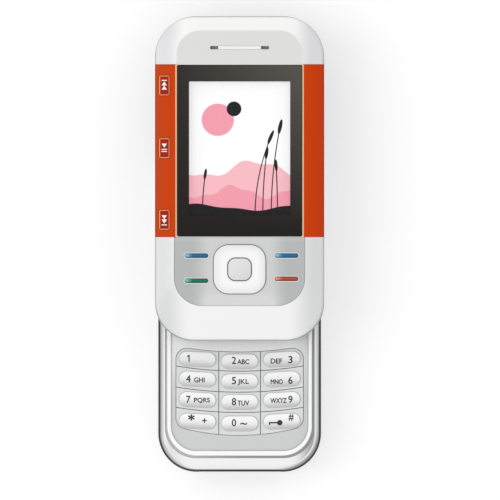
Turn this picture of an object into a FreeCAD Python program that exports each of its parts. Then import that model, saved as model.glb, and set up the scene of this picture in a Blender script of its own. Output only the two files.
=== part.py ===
import FreeCAD, Part
import math
import os

Vec = FreeCAD.Vector

# A slider phone, open, lying on its back. +Y runs towards the earpiece, +Z up out of the screen.
# The origin is the bottom centre of the open phone. All sizes are in millimetres.

# Overall sizes
half_length = 92.4
slide_width = 48.2
base_width = 46.5
slide_travel = 37.6
base_thickness = 12.0
slide_thickness = 8.0
slide_gap = 0.4

# Outlines
base_corner_radius = 11.0
slide_bottom_radius = 10.8
slide_top_radius = 11.6
seam_gap = 0.1
fit_clearance = 0.1
key_clearance = 0.12

# Raised middle of the slide and the slopes around it
slope_width = 6.2
plateau_top_margin = 4.1
plateau_top_radius = 6.6
slope_drop = 1.4
slope_edge_round = 1.2
slide_wall = 1.3

# Slide front: places are measured down from the earpiece end
window_side_gap = 0.3
window_top = 13.95
window_length = 48.75
window_corner_radius = 0.5
window_thickness = 1.2
window_recess = 0.15
window_side_border = 3.35
window_top_border = 4.65
window_bottom_border = 6.0
display_thickness = 2.5
display_border = 1.2
earpiece_top = 9.0
earpiece_slot_length = 16.8
earpiece_slot_width = 1.0
earpiece_bar_length = 12.1
earpiece_groove_depth = 0.45
earpiece_width = 5.0
earpiece_mesh_width = 3.0
earpiece_overhang = 0.6

# Coloured side bands and the media keys in the left one
band_width = 6.05
band_end_margin = 0.2
band_thickness = 1.1
media_key_width = 3.05
media_key_length = 5.7
media_key_radius = 0.55
media_key_inset = 2.7
media_key_drops = (5.8, 23.65, 44.05)
media_key_proud = 0.22
media_key_height = 2.3
media_key_flange = 0.45
media_travel = 0.3

# Navigation panel and its keys
panel_overhang = 0.55
panel_gap = 0.25
panel_length = 19.55
panel_corner_radius = 8.0
panel_thickness = 0.65
panel_recess = 0.15
panel_ledge = 1.2
panel_rim = 0.35
ring_drop = 9.15
ring_width = 14.9
ring_height = 14.0
ring_corner_radius = 4.4
ring_gap = 0.14
ring_proud = 0.45
ring_flange = 0.6
ring_carrier_gap = 0.2
ring_carrier_width = 0.9
ring_carrier_thickness = 0.15
centre_key_width = 6.6
centre_key_height = 6.3
centre_key_radius = 2.1
centre_key_proud = 0.3
bar_key_length = 6.5
bar_key_width = 1.05
bar_key_radius = 0.45
bar_key_proud = 0.4
bar_key_flange = 0.4
bar_key_drops = (5.25, 12.4, 11.85)
bar_key_inset = 6.3
bar_key_right_inset = 5.25
key_flange_thickness = 0.4
key_flange_gap = 0.4
mat_gap = 0.6
mat_web = 0.85
bar_travel = 0.3

# Slide back and runners
back_cover_thickness = 1.0
back_edge_round = 0.6
plate_thickness = 0.5
plate_half_width = 16.0
plate_end_margin = 4.0
rail_offset = 11.0
rail_neck_width = 1.6
rail_head_width = 5.0
rail_head_thickness = 0.5
rail_clearance = 0.15
runner_half_length = 21.2
glide_width = 0.7
glide_clearance = 0.06
stop_clearance = 0.1
hat_half_width = 15.0
hat_ceiling = 0.5
hat_clearance = 0.2
flex_width = 7.0
flex_thickness = 0.12
flex_pitch = 0.45
flex_x = -3.2
flex_base_y = -15.0
flex_bend_y = 18.0
spring_wire_radius = 0.22
spring_x = 4.6
spring_y = 10.0
spring_loop = 2.5
spring_leg = 8.0
board_thickness = 0.8
slide_board_inset = 5.5
board_space = 1.4
screw_shank_radius = 0.6
screw_head_radius = 1.3
screw_head_height = 0.7
screw_hole_clearance = 0.1
screw_boss_wall = 0.8

# Base shells
rear_height = 7.2
rear_edge_round = 3.0
rear_wall = 1.4
rear_floor = 1.0
frame_step = 0.6
frame_edge_round = 1.9
frame_wall = 1.4
deck_thickness = 0.8
deck_depth = 1.1
groove_inset = 1.95
groove_end_margin = 4.0
groove_corner_radius = 8.8
bezel_inset = 2.57
bezel_end_margin = 4.65
bezel_corner_radius = 8.5
bezel_edge_round = 0.35
groove_depth = 0.45
plate_opening_inset = 3.63
plate_opening_end_margin = 6.05
plate_corner_radius = 7.2
keypad_plate_thickness = 0.6
keypad_plate_top_margin = 41.5

# Keypad: distances up from the base's free end to the middle of each line between the rows
keypad_inset = 5.15
column_share = 0.329
row_lines = (34.2, 28.8, 22.8, 17.0, 10.55)
row_curve_radius = 112.0
top_curve_radius = 104.0
bottom_curve_radius = 66.0
keypad_corner_radius = 3.0
key_line_width = 0.2
key_cap_thickness = 1.0
key_cap_proud = 0.05
pillow_end_gap = 0.75
pillow_width = 4.25
pillow_height = 0.5
pillow_crown_radius = 8.0
pillow_edge_round = 0.16
pillow_tilt = 3.0
pillow_rise = 0.1
key_travel = 0.3
key_mat_gap = 0.38
key_mat_thickness = 0.6
key_pad_height = 0.35
dome_radius = 2.0
dome_height = 0.3
dome_gap = 0.1

# Inside the base
main_board_thickness = 0.9
main_board_margin = 2.7
main_board_z = 7.7
battery_inset = 6.25
battery_length = 46.0
battery_thickness = 4.5
battery_margin = 8.3
battery_clearance = 0.25
bay_wall = 0.8
bay_ceiling = 0.5
cover_thickness = 1.6
cover_length = 61.1
cover_travel = 3.0
cover_tab_thickness = 0.8
cover_tab_length = 4.0
cover_tab_places = (12.5, 48.0)
cover_foot_reach = 0.6
cover_foot_thickness = 0.5
cover_grip_count = 5
cover_grip_pitch = 1.6
sim_inset = 4.0
sim_length = 15.0
sim_margin = 26.0
connector_width = 23.0
connector_depth = 5.6
connector_inset = 0.05
connector_bottom = 3.2
charger_radius = 1.05
charger_depth = 4.6
charger_offset = -7.6
usb_width = 7.0
usb_height = 3.0
usb_offset = 3.0
port_depth = 4.4
jack_radius = 1.27
jack_depth = 11.0
jack_offset = -9.0
jack_wall = 1.3
camera_x = 10.0
camera_y = 12.0
camera_size = 8.6
camera_height = 4.6
camera_window_radius = 3.6
camera_window_thickness = 0.7
camera_barrel_radius = 2.4
speaker_x = -8.0
speaker_y = 5.5
speaker_radius = 6.2
speaker_height = 3.0
speaker_slot_count = 5
speaker_slot_pitch = 1.7
speaker_slot_width = 0.8
motor_radius = 2.0
motor_length = 10.0
motor_inset = 8.75
antenna_length = 19.0
antenna_width = 4.4
antenna_x = 4.5
antenna_wall = 1.3
antenna_gap = 0.2
can_width = 15.4
can_length = 15.0
can_offset = 8.75
can_gap = 1.5
side_key_height = 2.2
side_key_proud = 0.45
side_key_z = 5.0
side_key_flange = 0.6
rocker_gap = 0.4
jack_z = 4.6
rocker_length = 13.0
rocker_y = 6.0
camera_key_length = 8.0
camera_key_y = -16.5
power_key_length = 7.0
power_key_x = 4.0

# Places that follow from the sizes
base_y0 = -(half_length + slide_travel) / 2
base_y1 = base_y0 + half_length
slide_y0 = base_y0 + slide_travel
slide_y1 = slide_y0 + half_length
slide_z0 = base_thickness + slide_gap
slide_z1 = slide_z0 + slide_thickness
slide_half = slide_width / 2
base_half = base_width / 2
plateau_half_width_top = slide_half - slope_width
band_inner_edge = slide_half - band_width
band_top = window_top - band_end_margin
band_length = window_length + 2 * band_end_margin
window_width = 2 * (band_inner_edge - window_side_gap)
display_width = window_width - 2 * window_side_border
display_length = window_length - window_top_border - window_bottom_border
display_top = window_top + window_top_border
panel_width = 2 * (band_inner_edge + panel_overhang)
panel_top = window_top + window_length + panel_gap
ring_top = panel_top + ring_drop
bar_key_x = panel_width / 2 - bar_key_inset
bar_key_right_x = panel_width / 2 - bar_key_right_inset
bar_keys = {
    "soft_key_left": (-bar_key_x, panel_top + bar_key_drops[0]),
    "soft_key_right": (bar_key_right_x, panel_top + bar_key_drops[0]),
    "call_key": (-bar_key_x, panel_top + bar_key_drops[1]),
    "end_key": (bar_key_right_x, panel_top + bar_key_drops[2]),
}
media_key_offset = slide_half - media_key_inset
media_key_tops = tuple(window_top + drop for drop in media_key_drops)
slide_board_half_width = slide_half - slide_board_inset
groove_half_width = base_half - groove_inset
bezel_half_width = base_half - bezel_inset
plate_opening_half_width = base_half - plate_opening_inset
keypad_half_width = base_half - keypad_inset
column_line = keypad_half_width * column_share
pillow_length = 2 * (column_line - pillow_end_gap)
pillow_offset = (keypad_half_width + column_line) / 2
battery_width = 2 * (base_half - battery_inset)
sim_width = battery_width - 2 * sim_inset
shell_z0 = slide_z0 + back_cover_thickness + seam_gap
deck_top = base_thickness - deck_depth
deck_bottom = deck_top - deck_thickness
frame_z0 = rear_height + seam_gap
cover_y1 = base_y0 + cover_length
main_board_top = main_board_z + main_board_thickness
slide_board_z = shell_z0 + board_space
slide_board_top = slide_board_z + board_thickness
panel_z1 = slide_z1 - panel_recess
panel_z0 = panel_z1 - panel_thickness
flange_z1 = panel_z0 - key_flange_gap
flange_z0 = flange_z1 - key_flange_thickness
mat_z1 = flange_z0 - mat_gap
mat_z0 = mat_z1 - mat_web
window_z1 = slide_z1 - window_recess
window_z0 = window_z1 - window_thickness
frame_top = window_z0 - fit_clearance
neck_z1 = slide_z0 + 0.05 + plate_thickness + rail_clearance
head_z1 = neck_z1 + rail_head_thickness
hat_z0 = head_z1 + hat_clearance
hat_z1 = hat_z0 + hat_ceiling
column_centres = (-pillow_offset, 0.0, pillow_offset)
key_names = (
    ("key_1", "key_2", "key_3"),
    ("key_4", "key_5", "key_6"),
    ("key_7", "key_8", "key_9"),
    ("key_star", "key_0", "key_hash"),
)
base_screw_places = ((base_half - 7.95, base_y0 + 4.9), (base_half - 4.35, cover_y1 - 3.1))
top_screw_place = (base_half - 5.95, base_y1 - 8.6)
slide_screw_places = ((slide_half - 5.5, slide_y0 + 8.5), (slide_half - 5.5, slide_y1 - 9.2))


def box(x0, x1, y0, y1, z0, z1):
    """A block between two corners."""
    return Part.makeBox(x1 - x0, y1 - y0, z1 - z0, Vec(x0, y0, z0))


def rect(x0, x1, y0, y1):
    """The four corners of a rectangle, anticlockwise from the lower left."""
    return [(x0, y0), (x1, y0), (x1, y1), (x0, y1)]


def centred(x, y, width, height):
    """The corners of a rectangle about a centre."""
    return rect(x - width / 2, x + width / 2, y - height / 2, y + height / 2)


def rounded_wire(corners, radii, z):
    """A closed outline at height z whose corners are arcs tangent to the sides."""
    ends = []
    for i, (x, y) in enumerate(corners):
        here = Vec(x, y, z)
        back = (Vec(*corners[i - 1], z) - here).normalize()
        ahead = (Vec(*corners[(i + 1) % len(corners)], z) - here).normalize()
        half_angle = back.getAngle(ahead) / 2
        along = radii[i] / math.tan(half_angle)
        inward = (back + ahead).normalize()
        middle = here + inward * (radii[i] / math.sin(half_angle) - radii[i])
        ends.append((here + back * along, middle, here + ahead * along))
    edges = []
    for i, (start, middle, finish) in enumerate(ends):
        edges.append(Part.Arc(start, middle, finish).toShape())
        edges.append(Part.makeLine(finish, ends[(i + 1) % len(ends)][0]))
    return Part.Wire(edges)


def prism(corners, radii, z0, z1):
    """An outline with rounded corners, raised from z0 to z1."""
    if not isinstance(radii, (list, tuple)):
        radii = [radii] * len(corners)
    return Part.Face(rounded_wire(corners, radii, z0)).extrude(Vec(0, 0, z1 - z0))


def pad(x, y, width, height, radius, z0, z1):
    """A block with rounded upright corners about a centre."""
    return prism(centred(x, y, width, height), radius, z0, z1)


def rod(x, y, z0, z1, radius):
    """An upright cylinder."""
    return Part.makeCylinder(radius, z1 - z0, Vec(x, y, z0))


def level_edges(shape, z):
    """The edges of a shape that lie at one height."""
    return [e for e in shape.Edges if abs(e.BoundBox.ZMin - z) < 1e-4 and abs(e.BoundBox.ZMax - z) < 1e-4]


def mirrored(places):
    """Each place and its twin on the other side of the phone's middle."""
    return [(side * x, y) for x, y in places for side in (-1, 1)]


def fused(shapes):
    """Several overlapping shapes as one clean solid."""
    whole = shapes[0].multiFuse(shapes[1:]) if len(shapes) > 1 else shapes[0]
    return whole.removeSplitter()


# Base shells

def base_outline(inset):
    """Corners and radii of the base, drawn in by inset."""
    return rect(-base_half + inset, base_half - inset, base_y0 + inset,
                base_y1 - inset), base_corner_radius - inset


def rear_form():
    """The outer form of the base's rear half, with its rounded back edge."""
    outline, radius = base_outline(0)
    form = prism(outline, radius, 0, rear_height)
    return form.makeFillet(rear_edge_round, level_edges(form, 0))


def bay_half_width():
    return battery_width / 2 + battery_clearance + cover_tab_thickness + fit_clearance


def bay_y():
    """The two ends of the battery bay."""
    y0 = base_y0 + battery_margin - battery_clearance
    return y0, y0 + battery_length + 2 * battery_clearance


def battery_cover():
    """The sliding back cover, with four hooked feet and grip ridges."""
    y0 = base_y0 - 1
    skin = rear_form().common(box(-base_half, base_half, y0, cover_y1, -1, cover_thickness))
    shapes = [skin]
    side = bay_half_width() - fit_clearance
    foot_z = cover_thickness + seam_gap + rear_floor + fit_clearance
    for place in cover_tab_places:
        tab_y0 = base_y0 + place - cover_tab_length / 2
        for sign in (-1, 1):
            inner = sign * (side - cover_tab_thickness)
            outer = sign * side
            reach = sign * (side + cover_foot_reach)
            low, high = sorted((inner, outer))
            shapes.append(box(low, high, tab_y0, tab_y0 + cover_tab_length,
                              cover_thickness - 0.4, foot_z + cover_foot_thickness))
            low, high = sorted((inner, reach))
            shapes.append(box(low, high, tab_y0, tab_y0 + cover_tab_length, foot_z,
                              foot_z + cover_foot_thickness))
    cover = fused(shapes)
    for i in range(cover_grip_count):
        y = cover_y1 - 6 - i * cover_grip_pitch
        half = 6.5 - 0.6 * i
        groove = Part.makeCylinder(0.5, 2 * half, Vec(-half, y, -0.2), Vec(1, 0, 0))
        cover = cover.cut(groove)
    return cover


def base_rear_housing():
    """The rear shell: battery bay, screw bosses, and openings for ports, camera, speaker and side keys."""
    shell = rear_form()
    floor_z = cover_thickness + seam_gap
    shell = shell.cut(box(-base_half - 1, base_half + 1, base_y0 - 1, cover_y1 + seam_gap, -1, floor_z))
    outline, radius = base_outline(rear_wall)
    inside = prism(outline, radius, floor_z + rear_floor, rear_height + 1)
    low_inside = prism(outline, radius, rear_floor + 0.3, rear_height + 1)
    low_inside = low_inside.common(box(-base_half, base_half, cover_y1 + 1.5, base_y1, 0, rear_height + 1))
    shell = shell.cut(inside).cut(low_inside)

    y0, y1 = bay_y()
    half = bay_half_width()
    bay_top = floor_z + fit_clearance + 0.1 + battery_thickness + fit_clearance
    walls = box(-half - bay_wall, half + bay_wall, y0 - bay_wall, y1 + bay_wall, floor_z,
                bay_top + bay_ceiling)
    shapes = [shell, walls]
    for x, y in mirrored(base_screw_places):
        shapes.append(rod(x, y, floor_z, rear_height,
                          screw_shank_radius + screw_hole_clearance + screw_boss_wall))
    for x, y in mirrored((top_screw_place,)):
        shapes.append(rod(x, y, 0.5, rear_height, screw_head_radius + screw_hole_clearance + screw_boss_wall))
    shell = fused(shapes)

    cuts = [box(-half, half, y0, y1, floor_z - 1, bay_top)]
    sim_y0 = base_y0 + sim_margin
    cuts.append(box(-sim_width / 2 - fit_clearance, sim_width / 2 + fit_clearance,
                    sim_y0 - fit_clearance, sim_y0 + sim_length + fit_clearance, bay_top - 1,
                    rear_height + 1))
    foot_z = floor_z + rear_floor
    side = half + cover_foot_reach + fit_clearance
    for place in cover_tab_places:
        tab_y0 = base_y0 + place - cover_tab_length / 2
        tab_y1 = tab_y0 + cover_tab_length
        cuts.append(box(-side, side, tab_y0 - cover_travel - 0.2, tab_y1 + 0.2, foot_z,
                        foot_z + cover_foot_thickness + 0.3))
        cuts.append(box(-side, side, tab_y0 - cover_travel - 0.2, tab_y1 - cover_travel + 0.2, floor_z - 1,
                        foot_z + 0.1))
    for x, y in mirrored(base_screw_places):
        cuts.append(rod(x, y, floor_z - 1, rear_height + 1, screw_shank_radius + screw_hole_clearance))
        cuts.append(rod(x, y, floor_z - 1, floor_z + screw_head_height + 0.05,
                        screw_head_radius + screw_hole_clearance))
    for x, y in mirrored((top_screw_place,)):
        cuts.append(rod(x, y, -1, rear_height + 1, screw_shank_radius + screw_hole_clearance))
        cuts.append(rod(x, y, -1, screw_head_height + 0.2, screw_head_radius + screw_hole_clearance))
    cuts.append(box(-connector_width / 2 - fit_clearance, connector_width / 2 + fit_clearance,
                    base_y0 - 1, base_y0 + rear_wall + 0.5, connector_bottom - fit_clearance,
                    rear_height + 1))
    cuts.append(Part.makeCylinder(jack_radius + jack_wall + fit_clearance, rear_wall + 2,
                                  Vec(jack_offset, base_y1 - rear_wall - 1, jack_z), Vec(0, 1, 0)))
    cuts.append(rod(camera_x, camera_y, -1, camera_window_thickness + 0.05,
                    camera_window_radius + fit_clearance))
    cuts.append(rod(camera_x, camera_y, -1, rear_floor + 1, camera_barrel_radius + fit_clearance))
    for i in range(speaker_slot_count):
        offset = (i - (speaker_slot_count - 1) / 2) * speaker_slot_pitch
        length = 9.0 - 0.9 * abs(offset)
        cuts.append(pad(speaker_x, speaker_y + offset, length, speaker_slot_width,
                        speaker_slot_width / 2 - 0.01,
                        -1, rear_floor + 1))
    cuts += [side_key_hole(rocker_y, rocker_length), side_key_hole(camera_key_y, camera_key_length)]
    hole = key_clearance
    cuts.append(box(power_key_x - power_key_length / 2 - hole, power_key_x + power_key_length / 2 + hole,
                    base_y1 - rear_wall - 0.5, base_y1 + 1, side_key_z - side_key_height / 2 - hole,
                    side_key_z + side_key_height / 2 + hole))
    return shell.cut(cuts)


def side_key_hole(y, length):
    """The hole in the right wall for a side key."""
    half = length / 2 + key_clearance
    tall = side_key_height / 2 + key_clearance
    return box(base_half - rear_wall - 0.5, base_half + 1, y - half, y + half, side_key_z - tall,
               side_key_z + tall)


def base_front_frame():
    """The silver front frame: a rounded rim around a deck that carries the keypad and the runner."""
    outline, radius = base_outline(frame_step)
    frame = prism(outline, radius, frame_z0, base_thickness)
    frame = frame.makeFillet(frame_edge_round, level_edges(frame, base_thickness))
    pocket = recess_prism(groove_half_width, groove_end_margin, groove_corner_radius, deck_top,
                          base_thickness + 1)
    inner, inner_radius = base_outline(frame_step + frame_wall)
    under = prism(inner, inner_radius, frame_z0 - 1, deck_bottom)
    frame = frame.cut(pocket).cut(under)
    bosses = []
    for x, y in mirrored(base_screw_places + (top_screw_place,)):
        bosses.append(rod(x, y, frame_z0, deck_bottom + 0.2,
                          screw_shank_radius + screw_hole_clearance + screw_boss_wall))
    frame = fused([frame] + bosses)
    cuts = [keypad_prism(fit_clearance, deck_bottom - 1, deck_top + 1)]
    for x, y in mirrored(base_screw_places + (top_screw_place,)):
        cuts.append(rod(x, y, frame_z0 - 1, deck_bottom - 0.1, screw_shank_radius + screw_hole_clearance))
    cuts.append(flex_slot(deck_bottom - 1, deck_top + 1))
    return frame.cut(cuts)


def recess_prism(half_width, end_margin, radius, z0, z1):
    """A long rounded block about the base's middle, set in from its ends by end_margin."""
    return prism(rect(-half_width, half_width, base_y0 + end_margin, base_y1 - end_margin), radius, z0, z1)


def keypad_bezel():
    """The white lip around the front recess, with a low skirt that floors the groove outside it."""
    lip = recess_prism(bezel_half_width, bezel_end_margin, bezel_corner_radius, deck_top, base_thickness)
    lip = lip.makeFillet(bezel_edge_round, level_edges(lip, base_thickness))
    gap = fit_clearance / 2
    skirt = recess_prism(groove_half_width - gap, groove_end_margin + gap, groove_corner_radius - gap,
                         deck_top, base_thickness - groove_depth)
    hole = recess_prism(plate_opening_half_width, plate_opening_end_margin, plate_corner_radius,
                        deck_top - 1, base_thickness + 1)
    return fused([lip, skirt]).cut(hole)


def keypad_plate():
    """The silver plate around the keys."""
    half = plate_opening_half_width - fit_clearance
    plate = prism(rect(-half, half, base_y0 + plate_opening_end_margin + fit_clearance,
                       base_y0 + keypad_plate_top_margin),
                  [plate_corner_radius - fit_clearance] * 2 + [0.3] * 2,
                  deck_top, deck_top + keypad_plate_thickness)
    return plate.cut(keypad_prism(key_line_width, deck_top - 1, base_thickness))


# Keypad

def curve_y(line_height, x, radius):
    """Height of a curved line at x: lowest in the middle and rising to the sides."""
    return base_y0 + line_height + radius - math.sqrt(radius * radius - x * x)


def keypad_prism(grow, z0, z1):
    """The keypad's whole outline: straight sides between two curved ends."""
    half = keypad_half_width + grow
    top = row_lines[0] + grow
    bottom = row_lines[-1] - grow
    corners = [
        Vec(-half, curve_y(bottom, half, bottom_curve_radius), z0),
        Vec(half, curve_y(bottom, half, bottom_curve_radius), z0),
        Vec(half, curve_y(top, half, top_curve_radius), z0),
        Vec(-half, curve_y(top, half, top_curve_radius), z0),
    ]
    low = Part.Arc(corners[0], Vec(0, base_y0 + bottom, z0), corners[1]).toShape()
    high = Part.Arc(corners[2], Vec(0, base_y0 + top, z0), corners[3]).toShape()
    outline = Part.Wire([low, Part.makeLine(corners[1], corners[2]), high,
                         Part.makeLine(corners[3], corners[0])])
    block = Part.Face(outline).extrude(Vec(0, 0, z1 - z0))
    upright = [e for e in block.Edges if e.BoundBox.ZLength > (z1 - z0) * 0.9]
    return block.makeFillet(keypad_corner_radius + grow, upright)


def key_cells(z0, z1):
    """The keypad cut along its lines into twelve cells, by row and column."""
    block = keypad_prism(0, z0, z1)
    gaps = []
    for x in (-column_line, column_line):
        gaps.append(box(x - key_line_width / 2, x + key_line_width / 2, base_y0, base_y1, z0 - 1, z1 + 1))
    for line in row_lines[1:-1]:
        centre = Vec(0, base_y0 + line + row_curve_radius, z0 - 1)
        outer = Part.makeCylinder(row_curve_radius + key_line_width / 2, z1 - z0 + 2, centre)
        inner = Part.makeCylinder(row_curve_radius - key_line_width / 2, z1 - z0 + 2, centre)
        gaps.append(outer.cut(inner))
    cells = block.cut(gaps).Solids
    cells.sort(key=lambda cell: -cell.CenterOfMass.y)
    rows = []
    for i in range(0, len(cells), 3):
        rows.append(sorted(cells[i:i + 3], key=lambda cell: cell.CenterOfMass.x))
    return rows


def key_centre(row, column):
    """The middle of one key's pillow."""
    x = column_centres[column]
    line = (row_lines[row] + row_lines[row + 1]) / 2 + pillow_rise
    return x, curve_y(line, x, row_curve_radius)


def key_pillow(x, y, z0, tilt):
    """A crowned oval pillow on a key."""
    oval = pad(0, 0, pillow_length, pillow_width, pillow_width / 2 - 0.05, z0 - 0.3, z0 + pillow_height + 1)
    crown = Part.makeCylinder(pillow_crown_radius, pillow_length + 2,
                              Vec(-pillow_length / 2 - 1, 0,
                                  z0 + pillow_height - pillow_crown_radius), Vec(1, 0, 0))
    pillow = oval.common(crown)
    top_edges = [e for e in pillow.Edges if e.BoundBox.ZMin > z0]
    pillow = pillow.makeFillet(pillow_edge_round, top_edges)
    pillow.rotate(Vec(0, 0, 0), Vec(0, 0, 1), tilt)
    pillow.translate(Vec(x, y, 0))
    return pillow


def keypad_keys():
    """The twelve keys by name."""
    cap_z1 = deck_top + keypad_plate_thickness + key_cap_proud
    cap_z0 = cap_z1 - key_cap_thickness
    keys = {}
    for row, cells in enumerate(key_cells(cap_z0, cap_z1)):
        for column, cell in enumerate(cells):
            x, y = key_centre(row, column)
            tilt = pillow_tilt * (column - 1)
            keys[key_names[row][column]] = fused([cell, key_pillow(x, y, cap_z1, tilt)])
    return keys


def keypad_mat():
    """The rubber mat under the keys: a web, a pad below each key and a plunger over each dome."""
    cap_z0 = deck_top + keypad_plate_thickness + key_cap_proud - key_cap_thickness
    pad_z1 = cap_z0 - key_mat_gap
    web_z1 = pad_z1 - key_pad_height
    web_z0 = web_z1 - key_mat_thickness
    low = base_y0 + row_lines[-1] - 0.6
    high = curve_y(row_lines[0], keypad_half_width, top_curve_radius) + 0.6
    half = keypad_half_width + 1.2
    shapes = [prism(rect(-half, half, low, high), 2.5, web_z0, web_z1)]
    dome_top = main_board_top + dome_height
    for row in range(4):
        for column in range(3):
            x, y = key_centre(row, column)
            shapes.append(pad(x, y, pillow_length - 1.5, pillow_width - 0.4, 1.2, web_z1 - 0.1, pad_z1))
            shapes.append(rod(x, y, dome_top + dome_gap, web_z0 + 0.1, 0.9))
    return fused(shapes)


# Inside the base

def main_board():
    """The main board with its key domes, shield cans and microphone."""
    outline, radius = base_outline(main_board_margin)
    board = prism(outline, radius, main_board_z, main_board_top)
    holes = []
    for x, y in mirrored(base_screw_places + (top_screw_place,)):
        holes.append(rod(x, y, main_board_z - 1, main_board_top + 1,
                         screw_shank_radius + screw_boss_wall + 0.4))
    board = board.cut(holes)
    pieces = [board]
    for row in range(4):
        for column in range(3):
            x, y = key_centre(row, column)
            pieces.append(Part.makeCone(dome_radius, dome_radius * 0.55, dome_height,
                                        Vec(x, y, main_board_top)))
    can_top = deck_bottom - 0.3
    can_y = flex_base_y + can_gap + can_length / 2
    for x in (-can_offset, can_offset):
        pieces.append(pad(x, can_y, can_width, can_length, 0.6, main_board_top, can_top))
    pieces.append(rod(-14.0, base_y0 + 8.0, main_board_top, main_board_top + 1.1, 1.8))
    return Part.makeCompound(pieces)


def battery():
    """The removable battery pack."""
    y0 = base_y0 + battery_margin
    z0 = cover_thickness + seam_gap + fit_clearance
    pack = prism(rect(-battery_width / 2, battery_width / 2, y0, y0 + battery_length), 1.2, z0,
                 z0 + battery_thickness)
    return pack.makeFillet(0.6, level_edges(pack, z0) + level_edges(pack, z0 + battery_thickness))


def sim_holder():
    """The card holder under the main board, reached through the battery bay."""
    y0 = base_y0 + sim_margin
    z0 = cover_thickness + seam_gap + 2 * fit_clearance + battery_thickness + fit_clearance
    tray = box(-sim_width / 2, sim_width / 2, y0, y0 + sim_length, z0, main_board_z)
    slot = box(-sim_width / 2 + 0.8, sim_width / 2 - 0.8, y0 - 1, y0 + sim_length - 1, z0 + 0.25, z0 + 0.85)
    window = pad(0, y0 + sim_length / 2, sim_width - 8, sim_length - 6, 1, z0 - 1, z0 + 0.5)
    return tray.cut([slot, window])


def system_connector():
    """The block of ports in the base's free end: a round charging socket and a flat data socket."""
    y0 = base_y0 + connector_inset
    block = box(-connector_width / 2, connector_width / 2, y0, y0 + connector_depth, connector_bottom,
                rear_height - 0.05)
    port_z = (connector_bottom + rear_height) / 2
    charger = Part.makeCylinder(charger_radius, charger_depth, Vec(charger_offset, y0, port_z), Vec(0, 1, 0))
    data = Part.makeBox(usb_width, port_depth, usb_height,
                        Vec(usb_offset - usb_width / 2, y0, port_z - usb_height / 2))
    tongue = Part.makeBox(usb_width - 2, port_depth - 0.8, 0.7,
                          Vec(usb_offset - usb_width / 2 + 1, y0 + 0.8, port_z - 0.35))
    return block.cut([charger, data.cut(tongue)])


def audio_jack():
    """The headset socket in the base's upper end."""
    outer = jack_radius + jack_wall
    y1 = base_y1 - 0.3
    barrel = Part.makeCylinder(outer, jack_depth + 1.2, Vec(jack_offset, y1 - jack_depth - 1.2, jack_z),
                               Vec(0, 1, 0))
    seat = box(jack_offset - outer, jack_offset + outer, y1 - jack_depth - 1.2, y1 - rear_wall - 2.5, jack_z,
               main_board_z)
    bore = Part.makeCylinder(jack_radius, jack_depth, Vec(jack_offset, y1 - jack_depth, jack_z), Vec(0, 1, 0))
    return fused([barrel, seat]).cut(bore)


def camera_module():
    """The camera: a square body on the board with a round barrel behind the rear window."""
    z0 = rear_floor + 0.4
    body = pad(camera_x, camera_y, camera_size, camera_size, 0.8, z0 + 0.9, main_board_z)
    barrel = rod(camera_x, camera_y, camera_window_thickness + 0.35, z0 + 1.5, camera_barrel_radius)
    return fused([body, barrel])


def camera_window():
    """The round clear window over the camera."""
    window = rod(camera_x, camera_y, 0.15, camera_window_thickness, camera_window_radius)
    return window.makeFillet(0.12, level_edges(window, 0.15))


def loudspeaker():
    """The round loudspeaker behind the rear slots."""
    z0 = rear_floor + 0.3 + fit_clearance
    can = rod(speaker_x, speaker_y, z0, z0 + speaker_height, speaker_radius)
    can = can.makeFillet(0.4, level_edges(can, z0 + speaker_height))
    post = rod(speaker_x, speaker_y, z0 + speaker_height - 0.2, main_board_z, 2.2)
    return fused([can, post])


def vibration_motor():
    """The vibration motor with its half-round weight, in a rubber cradle."""
    x, y = base_half - motor_inset, cover_y1 + 3.6
    z = main_board_z - motor_radius - 0.4
    can = Part.makeCylinder(motor_radius, motor_length - 4, Vec(x - motor_length / 2, y, z), Vec(1, 0, 0))
    shaft = Part.makeCylinder(0.4, 4.2, Vec(x + motor_length / 2 - 4.2, y, z), Vec(1, 0, 0))
    weight = Part.makeCylinder(motor_radius - 0.1, 2.6, Vec(x + motor_length / 2 - 3, y, z), Vec(1, 0, 0))
    weight = weight.cut(box(x, x + motor_length, y - 3, y + 3, z + 0.45, z + 3))
    cradle = box(x - motor_length / 2 + 0.5, x + motor_length / 2 - 4.5, y - 1.2, y + 1.2, z, main_board_z)
    return fused([can, shaft, weight, cradle])


def antenna():
    """The antenna carrier across the base's upper end: a hollow box open towards the back."""
    y1 = base_y1 - rear_wall - side_key_flange - 1.1
    y0 = y1 - antenna_width
    x0 = antenna_x - antenna_length / 2
    x1 = antenna_x + antenna_length / 2
    z0 = rear_floor + 0.3 + antenna_gap
    carrier = prism(rect(x0, x1, y0, y1), 0.8, z0, main_board_z)
    hollow = box(x0 + antenna_wall, x1 - antenna_wall, y0 + antenna_wall, y1 - antenna_wall,
                 z0 - 1, main_board_z - antenna_wall)
    return carrier.cut(hollow)


def side_key(y, length, gap):
    """A key in the base's right wall: an outer bar and an inner flange that stands gap inside the wall."""
    bar = box(base_half - rear_wall - gap - 0.2, base_half + side_key_proud, y - length / 2, y + length / 2,
              side_key_z - side_key_height / 2, side_key_z + side_key_height / 2)
    outer = [e for e in bar.Edges if e.BoundBox.XMin > base_half]
    bar = bar.makeFillet(0.3, outer)
    inner_x = base_half - rear_wall - gap
    flange = box(inner_x - side_key_flange, inner_x, y - length / 2 - 0.5, y + length / 2 + 0.5,
                 side_key_z - side_key_height / 2 - 0.4, side_key_z + side_key_height / 2 + 0.4)
    return fused([bar, flange])


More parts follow.
